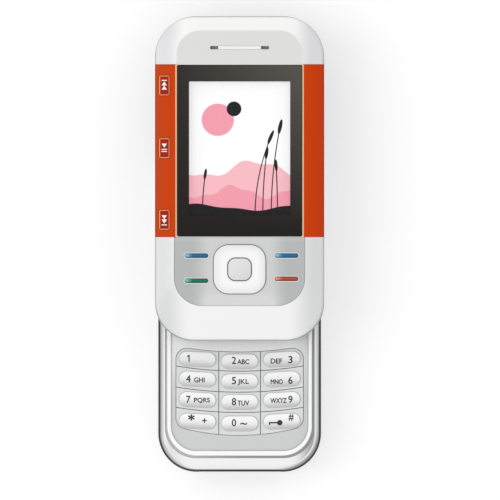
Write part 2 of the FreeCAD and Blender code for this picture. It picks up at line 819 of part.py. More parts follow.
def power_key():
    """The power key in the base's upper end."""
    bar = box(power_key_x - power_key_length / 2, power_key_x + power_key_length / 2,
              base_y1 - rear_wall - 0.3,
              base_y1 + side_key_proud, side_key_z - side_key_height / 2, side_key_z + side_key_height / 2)
    outer = [e for e in bar.Edges if e.BoundBox.YMin > base_y1]
    bar = bar.makeFillet(0.3, outer)
    inner_y = base_y1 - rear_wall - fit_clearance
    flange = box(power_key_x - power_key_length / 2 - 0.5, power_key_x + power_key_length / 2 + 0.5,
                 inner_y - side_key_flange, inner_y, side_key_z - side_key_height / 2 - 0.4,
                 side_key_z + side_key_height / 2 + 0.4)
    return fused([bar, flange])


def screw(x, y, z0, z1):
    """A small screw driven upwards: a round head with a cross recess and a plain shank."""
    head = rod(x, y, z0, z0 + screw_head_height, screw_head_radius)
    head = head.makeFillet(0.2, level_edges(head, z0))
    slots = [box(x - 0.8, x + 0.8, y - 0.15, y + 0.15, z0 - 1, z0 + 0.3),
             box(x - 0.15, x + 0.15, y - 0.8, y + 0.8, z0 - 1, z0 + 0.3)]
    shank = rod(x, y, z0 + screw_head_height - 0.1, z1, screw_shank_radius)
    return fused([head.cut(slots), shank])


def base_screws():
    """The six screws that hold the base's two shells together."""
    floor_z = cover_thickness + seam_gap
    tip = deck_bottom - 0.4
    screws = [screw(x, y, floor_z + 0.05, tip) for x, y in mirrored(base_screw_places)]
    screws += [screw(x, y, 0.2, tip) for x, y in mirrored((top_screw_place,))]
    return Part.makeCompound(screws)


# Runner between the halves

def flex_slot(z0, z1):
    """The short slot that the flat cable passes through."""
    return pad(flex_x, flex_base_y, flex_width + 1, 2.4, 0.8, z0, z1)


def runner():
    """The fixed steel runner on the base: a bed with two rails, each a neck under a wider head."""
    half = plate_opening_half_width - fit_clearance
    y0 = base_y0 + keypad_plate_top_margin + fit_clearance
    y1 = base_y1 - plate_opening_end_margin - fit_clearance
    shapes = [prism(rect(-half, half, y0, y1), [0.3] * 2 + [plate_corner_radius - fit_clearance] * 2,
                    deck_top, base_thickness - 0.2)]
    for side in (-1, 1):
        x = side * rail_offset
        shapes.append(box(x - rail_neck_width / 2, x + rail_neck_width / 2, -runner_half_length,
                          runner_half_length,
                          base_thickness - 0.3, neck_z1 + 0.1))
        shapes.append(pad(x, 0, rail_head_width, 2 * runner_half_length, 1.0, neck_z1, head_z1))
    return fused(shapes).cut(flex_slot(deck_top - 1, base_thickness))


def glide_strips():
    """The plastic strips on both sides of each rail's neck that guide the slide's plate."""
    strips = []
    for side in (-1, 1):
        for edge in (-1, 1):
            x = side * rail_offset + edge * (rail_neck_width + glide_width) / 2
            strips.append(box(x - glide_width / 2, x + glide_width / 2, 0.5 - runner_half_length,
                              runner_half_length - 0.5, base_thickness - 0.2, neck_z1))
    return Part.makeCompound(strips)


def slide_flex():
    """The flat cable between the halves: up through the runner, along, and back over itself in a tight U."""
    t = flex_thickness
    low = slide_z0 + 0.05 + plate_thickness + 0.05 + t / 2
    high = low + flex_pitch
    radius = flex_pitch / 2
    x0 = flex_x - flex_width / 2
    x1 = flex_x + flex_width / 2
    bend_centre = Vec(x0, flex_bend_y, low + radius)
    outer = Part.makeCylinder(radius + t / 2, flex_width, bend_centre, Vec(1, 0, 0))
    inner = Part.makeCylinder(radius - t / 2, flex_width, bend_centre, Vec(1, 0, 0))
    bend = outer.cut(inner).common(box(x0, x1, flex_bend_y, flex_bend_y + 3, low - 1, high + 1))
    lower = box(x0, x1, flex_base_y - t / 2, flex_bend_y, low - t / 2, low + t / 2)
    upper = box(x0, x1, flex_bend_y - 9, flex_bend_y, high - t / 2, high + t / 2)
    riser = box(x0, x1, flex_base_y - t / 2, flex_base_y + t / 2, main_board_top, low + t / 2)
    return fused([riser, lower, bend, upper])


def assist_spring():
    """The hairpin wire spring that snaps the slide open or shut, shown in its open rest shape."""
    wire = spring_wire_radius
    centre = Vec(spring_x, spring_y, slide_z0 + 0.05 + plate_thickness + 0.05 + wire)
    start = centre + Vec(-spring_loop, 0, 0)
    finish = centre + Vec(spring_loop, 0, 0)
    arc = Part.Arc(start, centre + Vec(0, spring_loop, 0), finish).toShape()
    down = Vec(0, -spring_leg, 0)
    path = Part.Wire([Part.makeLine(start + down, start), arc, Part.makeLine(finish, finish + down)])
    section = Part.Wire([Part.makeCircle(wire, start + down, Vec(0, 1, 0))])
    return path.makePipeShell([section], True, False)


# Slide shells

def slide_outline(inset):
    """Corners and radii of the slide, drawn in by inset."""
    corners = rect(-slide_half + inset, slide_half - inset, slide_y0 + inset, slide_y1 - inset)
    return corners, [slide_bottom_radius - inset] * 2 + [slide_top_radius - inset] * 2


def plateau_outline():
    """Corners and radii of the flat middle of the slide's front."""
    bottom_half = panel_width / 2 + panel_rim
    y0 = slide_y1 - panel_top - panel_length - panel_rim
    y1 = slide_y1 - plateau_top_margin
    corners = [(-bottom_half, y0), (bottom_half, y0), (plateau_half_width_top, y1),
               (-plateau_half_width_top, y1)]
    return corners, [panel_corner_radius + panel_rim] * 2 + [plateau_top_radius] * 2


def slide_form(inset):
    """The slide's front form drawn in by inset: upright walls, then slopes up to the flat middle."""
    corners, radii = slide_outline(inset)
    wall_top = slide_z1 - slope_drop - inset
    walls = prism(corners, radii, shell_z0, wall_top)
    middle, middle_radii = plateau_outline()
    roof = Part.makeLoft([rounded_wire(corners, radii, wall_top),
                          rounded_wire(middle, middle_radii, slide_z1 - inset)], True, True)
    form = walls.fuse(roof).removeSplitter()
    if inset:
        return form
    return form.makeFillet(slope_edge_round, level_edges(form, wall_top))


def band_zone(side, extra):
    """The space of one side band, from its inner edge outwards."""
    y1 = slide_y1 - band_top + extra
    y0 = slide_y1 - band_top - band_length - extra
    low, high = sorted((side * (band_inner_edge - extra), side * (slide_half + 1)))
    return box(low, high, y0, y1, shell_z0 - 1, slide_z1 + 1)


def slope_angle():
    """The slope of the side faces at the media keys, in degrees."""
    middle_y = slide_y1 - band_top - band_length / 2
    corners, _ = plateau_outline()
    share = (middle_y - corners[1][1]) / (corners[2][1] - corners[1][1])
    edge = corners[1][0] + (corners[2][0] - corners[1][0]) * share
    return math.degrees(math.atan2(slope_drop, slide_half - edge)), edge


def media_key_frame(shape, y):
    """Puts a shape made about the origin, with its top at z = 0, on the left slope at y."""
    angle, edge = slope_angle()
    z = slide_z1 - (media_key_offset - edge) * math.tan(math.radians(angle))
    shape.rotate(Vec(0, 0, 0), Vec(0, 1, 0), -angle)
    shape.translate(Vec(-media_key_offset, y, z))
    return shape


def media_key(top):
    """One media key: a rounded rectangle that stands a little proud of the band, with a flange inside."""
    cap = pad(0, 0, media_key_width, media_key_length, media_key_radius, -media_key_height, media_key_proud)
    cap = cap.makeFillet(0.15, level_edges(cap, media_key_proud))
    grow = 2 * media_key_flange
    flange = pad(0, 0, media_key_width + grow * 0.5, media_key_length + grow,
                 media_key_radius + media_key_flange / 2,
                 -media_key_height - 0.3, -media_key_height)
    return media_key_frame(fused([cap, flange]), slide_y1 - top)


def media_key_hole(top, through):
    """The clear space for a media key through the band, and for its flange and travel below."""
    hole = pad(0, 0, media_key_width + 2 * key_clearance, media_key_length + 2 * key_clearance,
               media_key_radius + key_clearance, -through, 2)
    return media_key_frame(hole, slide_y1 - top)


def media_flange_pocket(top):
    """The pocket behind the band for a media key's flange."""
    grow = 2 * media_key_flange + 0.3
    pocket = pad(0, 0, media_key_width + grow * 0.6, media_key_length + grow,
                 media_key_radius + media_key_flange / 2,
                 -6, 0.1 - media_key_height)
    return media_key_frame(pocket, slide_y1 - top)


def side_band(side):
    """One coloured band: the skin of the slide's side and slope."""
    skin = slide_form(0).cut(slide_form(band_thickness))
    band = skin.common(band_zone(side, 0))
    if side < 0:
        band = band.cut([media_key_hole(top, 4) for top in media_key_tops])
    return band


def window_prism(grow, z0, z1):
    """The screen window's outline."""
    half = window_width / 2 + grow
    y1 = slide_y1 - window_top + grow
    y0 = slide_y1 - window_top - window_length - grow
    return prism(rect(-half, half, y0, y1), window_corner_radius, z0, z1)


def panel_prism(grow, z0, z1):
    """The navigation panel's outline: square at the top and rounded at the bottom."""
    half = panel_width / 2 + grow
    y1 = slide_y1 - panel_top + grow
    y0 = slide_y1 - panel_top - panel_length - grow
    return prism(rect(-half, half, y0, y1), [panel_corner_radius + grow] * 2 + [0.3] * 2, z0, z1)


def slide_front_cover():
    """The white front shell of the slide."""
    form = slide_form(0)
    corners, radii = slide_outline(slide_wall)
    ceiling = slide_z1 - slope_drop - slide_wall
    hollow = prism(corners, radii, shell_z0 - 1, ceiling)
    liner_wall = band_thickness + fit_clearance + 1.0
    liner_corners, liner_radii = slide_outline(liner_wall)
    band_hollow = prism(liner_corners, liner_radii, shell_z0 - 1, slide_z1 - slope_drop - liner_wall)
    zones = [band_zone(side, slide_wall) for side in (-1, 1)]
    hollow = hollow.cut(zones)
    middle = rect(-window_width / 2 - fit_clearance, window_width / 2 + fit_clearance,
                  slide_y1 - panel_top - panel_length + panel_ledge + 0.8,
                  slide_y1 - plateau_top_margin - 2.2)
    high_hollow = prism(middle, 5.0, shell_z0 - 1, slide_z1 - 1.6)
    cover = form.cut([hollow, band_hollow, high_hollow])

    inner = slide_form(band_thickness + seam_gap / 2)
    skin = form.cut(inner)
    for side in (-1, 1):
        cover = cover.cut(skin.common(band_zone(side, seam_gap / 2)))

    bosses = []
    for x, y in mirrored(slide_screw_places):
        bosses.append(rod(x, y, shell_z0, ceiling + 0.2,
                          screw_shank_radius + screw_hole_clearance + screw_boss_wall))
    cover = fused([cover] + bosses)

    cuts = [window_prism(fit_clearance, slide_z1 - 2.5, slide_z1 + 1),
            panel_prism(fit_clearance / 2, panel_z0 - 0.02, slide_z1 + 1),
            panel_prism(-panel_ledge, slide_z1 - 2.5, slide_z1 + 1)]
    for x, y in mirrored(slide_screw_places):
        cuts.append(rod(x, y, shell_z0 - 1, ceiling - 0.6, screw_shank_radius + screw_hole_clearance))
    y = slide_y1 - earpiece_top
    cuts.append(pad(0, y, earpiece_slot_length, earpiece_slot_width, earpiece_slot_width / 2 - 0.01,
                    slide_z1 - earpiece_groove_depth, slide_z1 + 1))
    end_length = (earpiece_slot_length - earpiece_bar_length) / 2 - 0.1
    for side in (-1, 1):
        x = side * (earpiece_slot_length - end_length) / 2
        cuts.append(pad(x, y, end_length, earpiece_slot_width - 0.1, 0.2, slide_z1 - 3, slide_z1 + 1))
    cuts += [media_key_hole(top, 4) for top in media_key_tops]
    cuts += [media_flange_pocket(top) for top in media_key_tops]
    cuts.append(media_strip(0.15, 3))
    return cover.cut(cuts)


def earpiece_bar():
    """The bright bar set in the earpiece groove."""
    bar = pad(0, slide_y1 - earpiece_top, earpiece_bar_length, earpiece_slot_width - 2 * 0.05, 0.25,
              slide_z1 - earpiece_groove_depth, slide_z1 + 0.12)
    return bar.makeFillet(0.12, level_edges(bar, slide_z1 + 0.12))


def earpiece_speaker():
    """The earpiece behind the slot, with its mesh."""
    y = slide_y1 - earpiece_top
    top = slide_z1 - 1.6 - fit_clearance
    length = earpiece_slot_length + 2 * earpiece_overhang
    can = pad(0, y, length, earpiece_width, earpiece_width / 2 - 0.1, slide_board_top, top - 0.3)
    mesh = pad(0, y, length - 0.6, earpiece_mesh_width, earpiece_mesh_width / 3, top - 0.35, top)
    return fused([can, mesh])


def screen_window():
    """The clear window over the display."""
    window = window_prism(0, window_z0, window_z1)
    return window.makeFillet(0.12, level_edges(window, window_z1))


def display_place():
    """The ends of the visible display."""
    y1 = slide_y1 - display_top
    return y1 - display_length, y1


def display_frame():
    """The black frame that carries the display and masks its border."""
    outer = window_prism(-0.1, slide_board_top, frame_top)
    y0, y1 = display_place()
    opening = box(-display_width / 2, display_width / 2, y0, y1, slide_board_top - 1, frame_top + 1)
    grow = display_border + fit_clearance
    pocket = box(-display_width / 2 - grow, display_width / 2 + grow, y0 - grow - 2, y1 + grow,
                 slide_board_top - 1, frame_top - 0.35)
    return outer.cut([opening, pocket])


def display_module():
    """The display: a flat glass stack with a driver ledge at its lower end."""
    y0, y1 = display_place()
    top = frame_top - 0.35 - 0.05
    glass = box(-display_width / 2 - display_border, display_width / 2 + display_border, y0 - display_border,
                y1 + display_border, slide_board_top + 0.02, top)
    ledge = box(-display_width / 2 - display_border, display_width / 2 + display_border,
                y0 - display_border - 1.9, y0, slide_board_top + 0.02, top - 0.9)
    return fused([glass, ledge])


# Navigation keys

ring_y = slide_y1 - ring_top


def nav_panel():
    """The silver panel with its ring opening and four slots."""
    panel = panel_prism(0, panel_z0, panel_z1)
    panel = panel.makeFillet(0.12, level_edges(panel, panel_z1))
    grow = 2 * ring_gap
    cuts = [pad(0, ring_y, ring_width + grow, ring_height + grow, ring_corner_radius + grow / 2,
                panel_z0 - 1, slide_z1)]
    for x, top in bar_keys.values():
        cuts.append(pad(x, slide_y1 - top, bar_key_length + 2 * key_clearance,
                        bar_key_width + 2 * key_clearance,
                        bar_key_radius + key_clearance, panel_z0 - 1, slide_z1))
    return panel.cut(cuts)


def nav_ring():
    """The rocking ring: a soft square outside and a softer square hole."""
    top = panel_z1 + ring_proud
    ring = pad(0, ring_y, ring_width, ring_height, ring_corner_radius, flange_z0 + 0.2, top)
    ring = ring.makeFillet(0.4, level_edges(ring, top))
    flange = pad(0, ring_y, ring_width + 2 * ring_flange, ring_height + 2 * ring_flange,
                 ring_corner_radius + ring_flange, flange_z0, flange_z1)
    ring = fused([ring, flange])
    grow = 2 * ring_gap
    hole = pad(0, ring_y, centre_key_width + grow, centre_key_height + grow, centre_key_radius + grow / 2,
               flange_z0 - 1, top + 1)
    ring = ring.cut(hole)
    inner = [e for e in level_edges(ring, top)]
    return ring.makeFillet(0.15, inner)


def nav_ring_carrier():
    """The thin steel ring under the rocking ring that lets it tilt two ways."""
    z1 = flange_z0 - ring_carrier_gap
    inner = 1.6
    outer = inner + 2 * ring_carrier_width
    plate = pad(0, ring_y, centre_key_width + outer, centre_key_height + outer, centre_key_radius + outer / 2,
                z1 - ring_carrier_thickness, z1)
    return plate.cut(pad(0, ring_y, centre_key_width + inner, centre_key_height + inner,
                         centre_key_radius + inner / 2, z1 - 1, z1 + 1))


def nav_centre_key():
    """The select key in the middle of the ring."""
    top = panel_z1 + centre_key_proud
    key = pad(0, ring_y, centre_key_width, centre_key_height, centre_key_radius, flange_z0, top)
    return key.makeFillet(0.25, level_edges(key, top))


def bar_key(x, top):
    """One coloured bar key with its hidden flange."""
    z1 = panel_z1 + bar_key_proud
    y = slide_y1 - top
    key = pad(x, y, bar_key_length, bar_key_width, bar_key_radius, flange_z0 + 0.1, z1)
    key = key.makeFillet(0.25, level_edges(key, z1))
    flange = pad(x, y, bar_key_length + 2 * bar_key_flange, bar_key_width + 2 * bar_key_flange,
                 bar_key_radius + bar_key_flange, flange_z0, flange_z1)
    return fused([key, flange])


def nav_mat():
    """The rubber mat under the navigation keys, with a plunger over each switch."""
    half = window_width / 2 - 1.2
    y1 = slide_y1 - panel_top - 1.6
    y0 = slide_y1 - panel_top - panel_length + 2.6
    shapes = [prism(rect(-half, half, y0, y1), [4.5] * 2 + [1.0] * 2, mat_z0, mat_z1)]
    reach = 5.4
    places = [(0, ring_y), (reach, ring_y), (-reach, ring_y), (0, ring_y + reach - 0.6),
              (0, ring_y - reach + 0.6)]
    places += [(x, slide_y1 - top) for x, top in bar_keys.values()]
    for x, y in places:
        shapes.append(rod(x, y, slide_board_top + 0.35, mat_z0 + 0.1, 0.8))
    return fused(shapes)


def slide_board():
    """The slide's circuit board with its domes and the side strip of media switches."""
    y0 = slide_y0 + 12.6
    y1 = slide_y1 - 5.6
    board = prism(rect(-slide_board_half_width, slide_board_half_width, y0, y1), [5.0, 5.0, 8.5, 8.5],
                  slide_board_z, slide_board_top)
    notches = [rod(x, y, slide_board_z - 1, slide_board_top + 1, screw_shank_radius + screw_boss_wall + 0.4)
               for x, y in mirrored(slide_screw_places)]
    board = board.cut(notches)
    pieces = [board]
    reach = 5.4
    places = [(0, ring_y), (reach, ring_y), (-reach, ring_y), (0, ring_y + reach - 0.6),
              (0, ring_y - reach + 0.6)]
    places += [(x, slide_y1 - top) for x, top in bar_keys.values()]
    for x, y in places:
        pieces.append(Part.makeCone(1.6, 0.9, 0.25, Vec(x, y, slide_board_top)))
    return Part.makeCompound(pieces + [media_switches()])


def media_strip(grow, height):
    """The block of the switch strip under the media keys, grown for its pocket when asked."""
    y1 = slide_y1 - media_key_tops[0] + 5 + grow
    y0 = slide_y1 - media_key_tops[-1] - 5 - grow
    depth = media_key_height + 0.3 + media_travel + 0.15
    strip = box(-1.4 - grow, 1.4 + grow, y0, y1, -depth - height, -depth + grow)
    return media_key_frame(strip, 0)


def media_switches():
    """The strip of side switches under the media keys, on a foot that stands on the slide's board."""
    strip = media_strip(0, 0.5)
    y1 = slide_y1 - media_key_tops[0] + 2
    y0 = slide_y1 - media_key_tops[-1] - 2
    foot = box(-slide_board_half_width - 1.6, 0.3 - slide_board_half_width, y0, y1,
               slide_board_top, strip.BoundBox.ZMin + 0.25)
    return fused([strip, foot])


def slide_back_cover():
    """The slide's back shell, with a shallow hat in the middle over the steel plate and the rails."""
    corners, radii = slide_outline(0)
    cover = prism(corners, radii, slide_z0, slide_z0 + back_cover_thickness)
    cover = cover.makeFillet(back_edge_round, level_edges(cover, slide_z0))
    y0, y1 = plate_ends()
    hat = prism(rect(-hat_half_width - 0.6, hat_half_width + 0.6, y0 + 0.2, y1 - 0.2), 1.6, slide_z0 + 0.7,
                hat_z1)
    cover = fused([cover, hat])
    cuts = [prism(rect(-plate_half_width - 0.1, plate_half_width + 0.1, y0 - 0.1, y1 + 0.1), 1.5,
                  slide_z0 - 1, slide_z0 + 0.05 + plate_thickness),
            prism(rect(-hat_half_width, hat_half_width, y0 + 0.8, y1 - 0.8), 1.0, slide_z0 - 1, hat_z0)]
    for x, y in mirrored(slide_screw_places):
        cuts.append(rod(x, y, slide_z0 - 1, slide_z0 + 2, screw_shank_radius + screw_hole_clearance))
        cuts.append(rod(x, y, slide_z0 - 1, slide_z0 + 0.15 + screw_head_height,
                        screw_head_radius + screw_hole_clearance))
    return cover.cut(cuts)


def plate_ends():
    """The two ends of the slide's steel plate."""
    y0 = -runner_half_length - stop_clearance
    y1 = runner_half_length + slide_travel + stop_clearance
    return y0 - 1.2, y1 + 1.2


def slide_plate():
    """The steel plate in the slide's back: two long slots for the rails and one for the flat cable."""
    y0, y1 = plate_ends()
    z0 = slide_z0 + 0.05
    plate = prism(rect(-plate_half_width, plate_half_width, y0, y1), 1.4, z0, z0 + plate_thickness)
    slot_half = rail_neck_width / 2 + glide_width + glide_clearance
    cuts = []
    for side in (-1, 1):
        x = side * rail_offset
        cuts.append(prism(rect(x - slot_half, x + slot_half, y0 + 1.2, y1 - 1.2), 0.3, z0 - 1, z0 + 2))
    flex_half = flex_width / 2 + 0.6
    cuts.append(prism(rect(flex_x - flex_half, flex_x + flex_half, flex_base_y - 1.6,
                           flex_base_y + slide_travel + 1.6), 1.0, z0 - 1, z0 + 2))
    return plate.cut(cuts)


def slide_screws():
    """The four screws in the slide's back."""
    tip = slide_z1 - slope_drop - slide_wall - 0.9
    return Part.makeCompound([screw(x, y, slide_z0 + 0.1, tip) for x, y in mirrored(slide_screw_places)])


def export(name, shape):
    """Writes one piece and says if it is sound."""
    solids = shape.Solids
    sound = shape.isValid() and bool(solids) and all(s.isValid() and s.Volume > 0 for s in solids)
    print(f"{name:20s} solids {len(solids):2d} volume {shape.Volume:9.2f} {'ok' if sound else 'NOT SOUND'}")
    if len(solids) == 1:
        shape = solids[0]
    shape.exportStep(f"parts/{name}.step")


def main():
    os.makedirs("parts", exist_ok=True)
    pieces = {
        "base_rear_housing": base_rear_housing(),
        "battery_cover": battery_cover(),
        "base_front_frame": base_front_frame(),
        "keypad_bezel": keypad_bezel(),
        "keypad_plate": keypad_plate(),
        "keypad_mat": keypad_mat(),
        "main_board": main_board(),
        "battery": battery(),
        "sim_holder": sim_holder(),
        "system_connector": system_connector(),
        "audio_jack": audio_jack(),
        "camera_module": camera_module(),
        "camera_window": camera_window(),
        "loudspeaker": loudspeaker(),
        "vibration_motor": vibration_motor(),
        "antenna": antenna(),
        "volume_rocker": side_key(rocker_y, rocker_length, rocker_gap),
        "camera_key": side_key(camera_key_y, camera_key_length, fit_clearance),
        "power_key": power_key(),
        "base_screws": base_screws(),
        "runner": runner(),
        "glide_strips": glide_strips(),
        "slide_flex": slide_flex(),
        "assist_spring": assist_spring(),
        "slide_front_cover": slide_front_cover(),
        "side_band_left": side_band(-1),
        "side_band_right": side_band(1),
        "earpiece_bar": earpiece_bar(),
        "earpiece_speaker": earpiece_speaker(),
        "screen_window": screen_window(),
        "display_frame": display_frame(),
        "display_module": display_module(),
        "nav_panel": nav_panel(),
        "nav_ring": nav_ring(),
        "nav_ring_carrier": nav_ring_carrier(),
        "nav_centre_key": nav_centre_key(),
        "nav_mat": nav_mat(),
        "slide_board": slide_board(),
        "slide_back_cover": slide_back_cover(),
        "slide_plate": slide_plate(),
        "slide_screws": slide_screws(),
    }
    for name, top in zip(("previous_key", "play_key", "next_key"), media_key_tops):
        pieces[name] = media_key(top)
    for name, (x, top) in bar_keys.items():
        pieces[name] = bar_key(x, top)
    pieces.update(keypad_keys())
    for name, shape in pieces.items():
        export(name, shape)
    print(len(pieces), "nodes")


main()
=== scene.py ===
# %% [markdown]
# # A slider phone, opened, seen from straight above
# The real object is a small phone in two halves. The front half carries the display, the
# round navigation keys and two orange side bands, and it slides off a silver base that
# carries the number keys. The solids come ready made in a shared frame, so this lesson
# adds what they lack: finishes, printed legends and icons. The solids could be given
# plain colours one by one, but tones worked out from the place look right from near too.

# %% Load the solids
import bpy
import bmesh
import math
import numpy as np
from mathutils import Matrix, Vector


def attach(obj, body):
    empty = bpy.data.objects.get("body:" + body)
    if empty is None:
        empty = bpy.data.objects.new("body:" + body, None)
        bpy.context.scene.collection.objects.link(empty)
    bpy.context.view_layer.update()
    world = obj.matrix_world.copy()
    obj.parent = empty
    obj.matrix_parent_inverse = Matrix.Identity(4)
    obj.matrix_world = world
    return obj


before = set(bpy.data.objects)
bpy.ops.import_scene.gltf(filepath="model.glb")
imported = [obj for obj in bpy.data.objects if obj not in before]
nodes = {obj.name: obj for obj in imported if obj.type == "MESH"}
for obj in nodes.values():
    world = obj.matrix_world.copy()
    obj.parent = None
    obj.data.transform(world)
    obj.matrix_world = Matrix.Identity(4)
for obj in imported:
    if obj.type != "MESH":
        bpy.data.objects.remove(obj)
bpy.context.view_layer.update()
MM = 0.001

# %% [markdown]
# The photo looks straight down at the phone and shows none of its sides, so the camera
# stands high with a long lens. A camera without any perspective would do nearly the same,
# but a long lens still shows the little that a real one shows. Its middle is to the right
# of the phone's, as in the photo, and its scale is set where the front face is.

# %% Camera
photo_pixels_per_mm = 3.51
photo_pixels = 500
photo_middle = (2.96, -1.6)
sensor_width = 36.0
camera_height, front_height = 3.0, 0.018
view_width = photo_pixels / photo_pixels_per_mm * MM
camera_data = bpy.data.cameras.new("overhead_camera")
camera_data.sensor_width = sensor_width
camera_data.lens = sensor_width * (camera_height - front_height) / view_width
camera_data.clip_start, camera_data.clip_end = 0.05, 10
camera = bpy.data.objects.new("overhead_camera", camera_data)
camera.location = (photo_middle[0] * MM, photo_middle[1] * MM, camera_height)
bpy.context.scene.collection.objects.link(camera)
bpy.context.scene.camera = camera
print("lens", round(camera_data.lens, 1), "mm, view", round(view_width * 1000, 1), "mm wide")

# %% [markdown]
# Finishes are worked out as sums on node sockets. Written out node by node they are hard
# to read, so a small wrapper lets Python's own signs build the Math nodes: `a * b + 1`
# makes a Multiply and an Add.

# %% Shader arithmetic
class Value:
    """One output socket. Python's arithmetic signs between two of them make Math nodes."""

    def __init__(self, finish, socket):
        self.finish, self.socket = finish, socket

    def math(self, operation, *others):
        return self.finish.node("Math", self, *others, operation=operation)

    def __add__(self, other):
        return self.math("ADD", other)

    def __sub__(self, other):
        return self.math("SUBTRACT", other)

    def __mul__(self, other):
        return self.math("MULTIPLY", other)

    def __truediv__(self, other):
        return self.math("DIVIDE", other)

    def __neg__(self):
        return self.math("MULTIPLY", -1.0)

    def __abs__(self):
        return self.math("ABSOLUTE")

    def __rsub__(self, other):
        return self.finish.node("Math", other, self, operation="SUBTRACT")

    __radd__ = __add__
    __rmul__ = __mul__

    def most(self, other):
        return self.math("MAXIMUM", other)

    def least(self, other):
        return self.math("MINIMUM", other)

    def wave(self):
        return self.math("SINE")

    def root(self):
        return self.math("SQRT")

    def step(self, start, finish):
        """0 below start, 1 above finish and a smooth rise between them."""
        return self.finish.node("MapRange", self, start, finish, 0.0, 1.0, interpolation_type="SMOOTHSTEP")


print("values can be added, taken away, multiplied, divided and compared")

# %% [markdown]
# A material is one Principled shader and the nodes that feed it. They could be made with
# Blender's node editor, but in code one `node` method makes any kind, and the few things
# that every finish needs get names: the place in millimetres, a mottle, a mix, a bump.

# %% One material
class Finish:
    """One material: a Principled shader and the nodes that feed it."""

    def __init__(self, name, rough, metal=0.0, coat=0.0, specular=0.5):
        self.material = bpy.data.materials.new(name)
        self.material.use_nodes = True
        self.tree = self.material.node_tree
        self.shader = self.tree.nodes["Principled BSDF"]
        self.shader.inputs["Roughness"].default_value = rough
        self.shader.inputs["Metallic"].default_value = metal
        self.shader.inputs["Coat Weight"].default_value = coat
        self.shader.inputs["Coat Roughness"].default_value = 0.12
        self.shader.inputs["Specular IOR Level"].default_value = specular

    def feed(self, socket, value):
        """Links a value to a socket, or writes a plain number or colour into it."""
        if isinstance(value, Value):
            self.tree.links.new(value.socket, socket)
        else:
            socket.default_value = value

    def node(self, kind, *inputs, out=0, **settings):
        """Any node: its settings first, then its inputs in their order, None to leave one alone."""
        made = self.tree.nodes.new("ShaderNode" + kind)
        for key, value in settings.items():
            setattr(made, key, value)
        for i, value in enumerate(inputs):
            if value is not None:
                self.feed(made.inputs[i], value)
        return Value(self, made.outputs[out])

    def to(self, name, value):
        """Feeds one socket of the shader."""
        self.feed(self.shader.inputs[name], value)
        return self

    def place(self):
        """x, y and z on the object, in millimetres."""
        where = self.node("TexCoord", out=3)
        split = self.tree.nodes.new("ShaderNodeSeparateXYZ")
        self.tree.links.new(where.socket, split.inputs[0])
        return [Value(self, split.outputs[i]) * 1000.0 for i in range(3)]

    def mottle(self, per_mm, detail=2.0, rough=0.5):
        """A soft random value between 0 and 1 that changes per_mm times in each millimetre."""
        where = self.node("TexCoord", out=3)
        return self.node("TexNoise", where, None, per_mm * 1000.0, detail, rough)

    def mix(self, share, first, second):
        """A colour between two, by a share from 0 to 1."""
        made = self.tree.nodes.new("ShaderNodeMix")
        made.data_type = "RGBA"
        for i, value in ((0, share), (6, first), (7, second)):
            self.feed(made.inputs[i], value)
        return Value(self, made.outputs[2])

    def relief(self, height, depth_mm):
        """Turns a height between 0 and 1 into a bump of that depth."""
        made = self.tree.nodes.new("ShaderNodeBump")
        made.inputs["Distance"].default_value = depth_mm * MM
        made.inputs["Strength"].default_value = 1.0
        self.feed(made.inputs["Height"], height)
        return self.to("Normal", Value(self, made.outputs[0]))


def paint(red, green, blue):
    """A colour as a picture editor gives it, 0 to 255, turned to the linear values that light follows."""
    shares = (red / 255, green / 255, blue / 255)
    return tuple(((c + 0.055) / 1.055) ** 2.4 if c > 0.04 else c / 12.92 for c in shares) + (1.0,)


print("white paper is", [round(c, 2) for c in paint(235, 235, 235)])

# %% [markdown]
# Most of the phone is moulded plastic under silver or pearl lacquer. Up close such a
# lacquer isn't one colour: tiny flakes make it sparkle a little and its surface has a
# faint orange peel. Both are noise of two sizes, one in the colour, one in the bump.

# %% Lacquers
def lacquer(name, colour, rough=0.32, metal=0.0, coat=0.25, flake=0.05, peel=0.004):
    """Colour times (1 - flake * fine noise), with roughness and bump from a coarser noise."""
    finish = Finish(name, rough, metal, coat)
    sparkle = finish.mottle(9.0, 1.0)
    dark = tuple(c * (1 - 2 * flake) for c in colour[:3]) + (1.0,)
    finish.to("Base Color", finish.mix(sparkle, colour, dark))
    finish.to("Roughness", finish.mottle(1.2) * 0.12 + (rough - 0.06))
    return finish.relief(finish.mottle(2.5, 3.0), peel)


silver_shell = lacquer("silver_shell_lacquer", paint(222, 223, 225), metal=0.15)
silver_button = lacquer("silver_button_lacquer", paint(196, 197, 199), rough=0.28)
dark_silver = lacquer("slide_back_lacquer", paint(168, 170, 174), metal=0.3)
print("lacquers ready")

# %% [markdown]
# Most borders on this phone are rounded rectangles: the halves' outlines, the cap over the
# earpiece, the ring, the keys and the pillows. They could be cut as separate pieces, but
# one distance formula serves them all: fold the place into one corner, take the distance
# to that corner's arc, and keep it negative inside.

# %% Rounded rectangle distance
def rounded_distance(x, y, centre, half, radius):
    """Distance to a rounded rectangle's outline, in millimetres, negative inside."""
    along = abs(x - centre[0]) - (half[0] - radius)
    across = abs(y - centre[1]) - (half[1] - radius)
    out = (along.most(0.0) * along.most(0.0) + across.most(0.0) * across.most(0.0)).root()
    return out + along.most(across).least(0.0) - radius


def line_on(distance, middle, half_width, soft=0.05):
    """1 on a line that follows an outline at a distance from it."""
    return 1.0 - (abs(distance - middle) - half_width).step(-soft, soft)


print("the distance is 0 on the outline, below 0 inside it")

# %% [markdown]
# The front shell is pearl lacquer, and its tone changes with place: a grey outline and
# sides, a bright rim above the earpiece, a greyer flat middle and a bright chin. The real
# one gets these from its slopes under a studio's lights. Here the light is plain, so the
# tones are painted by place and stay right from every side.

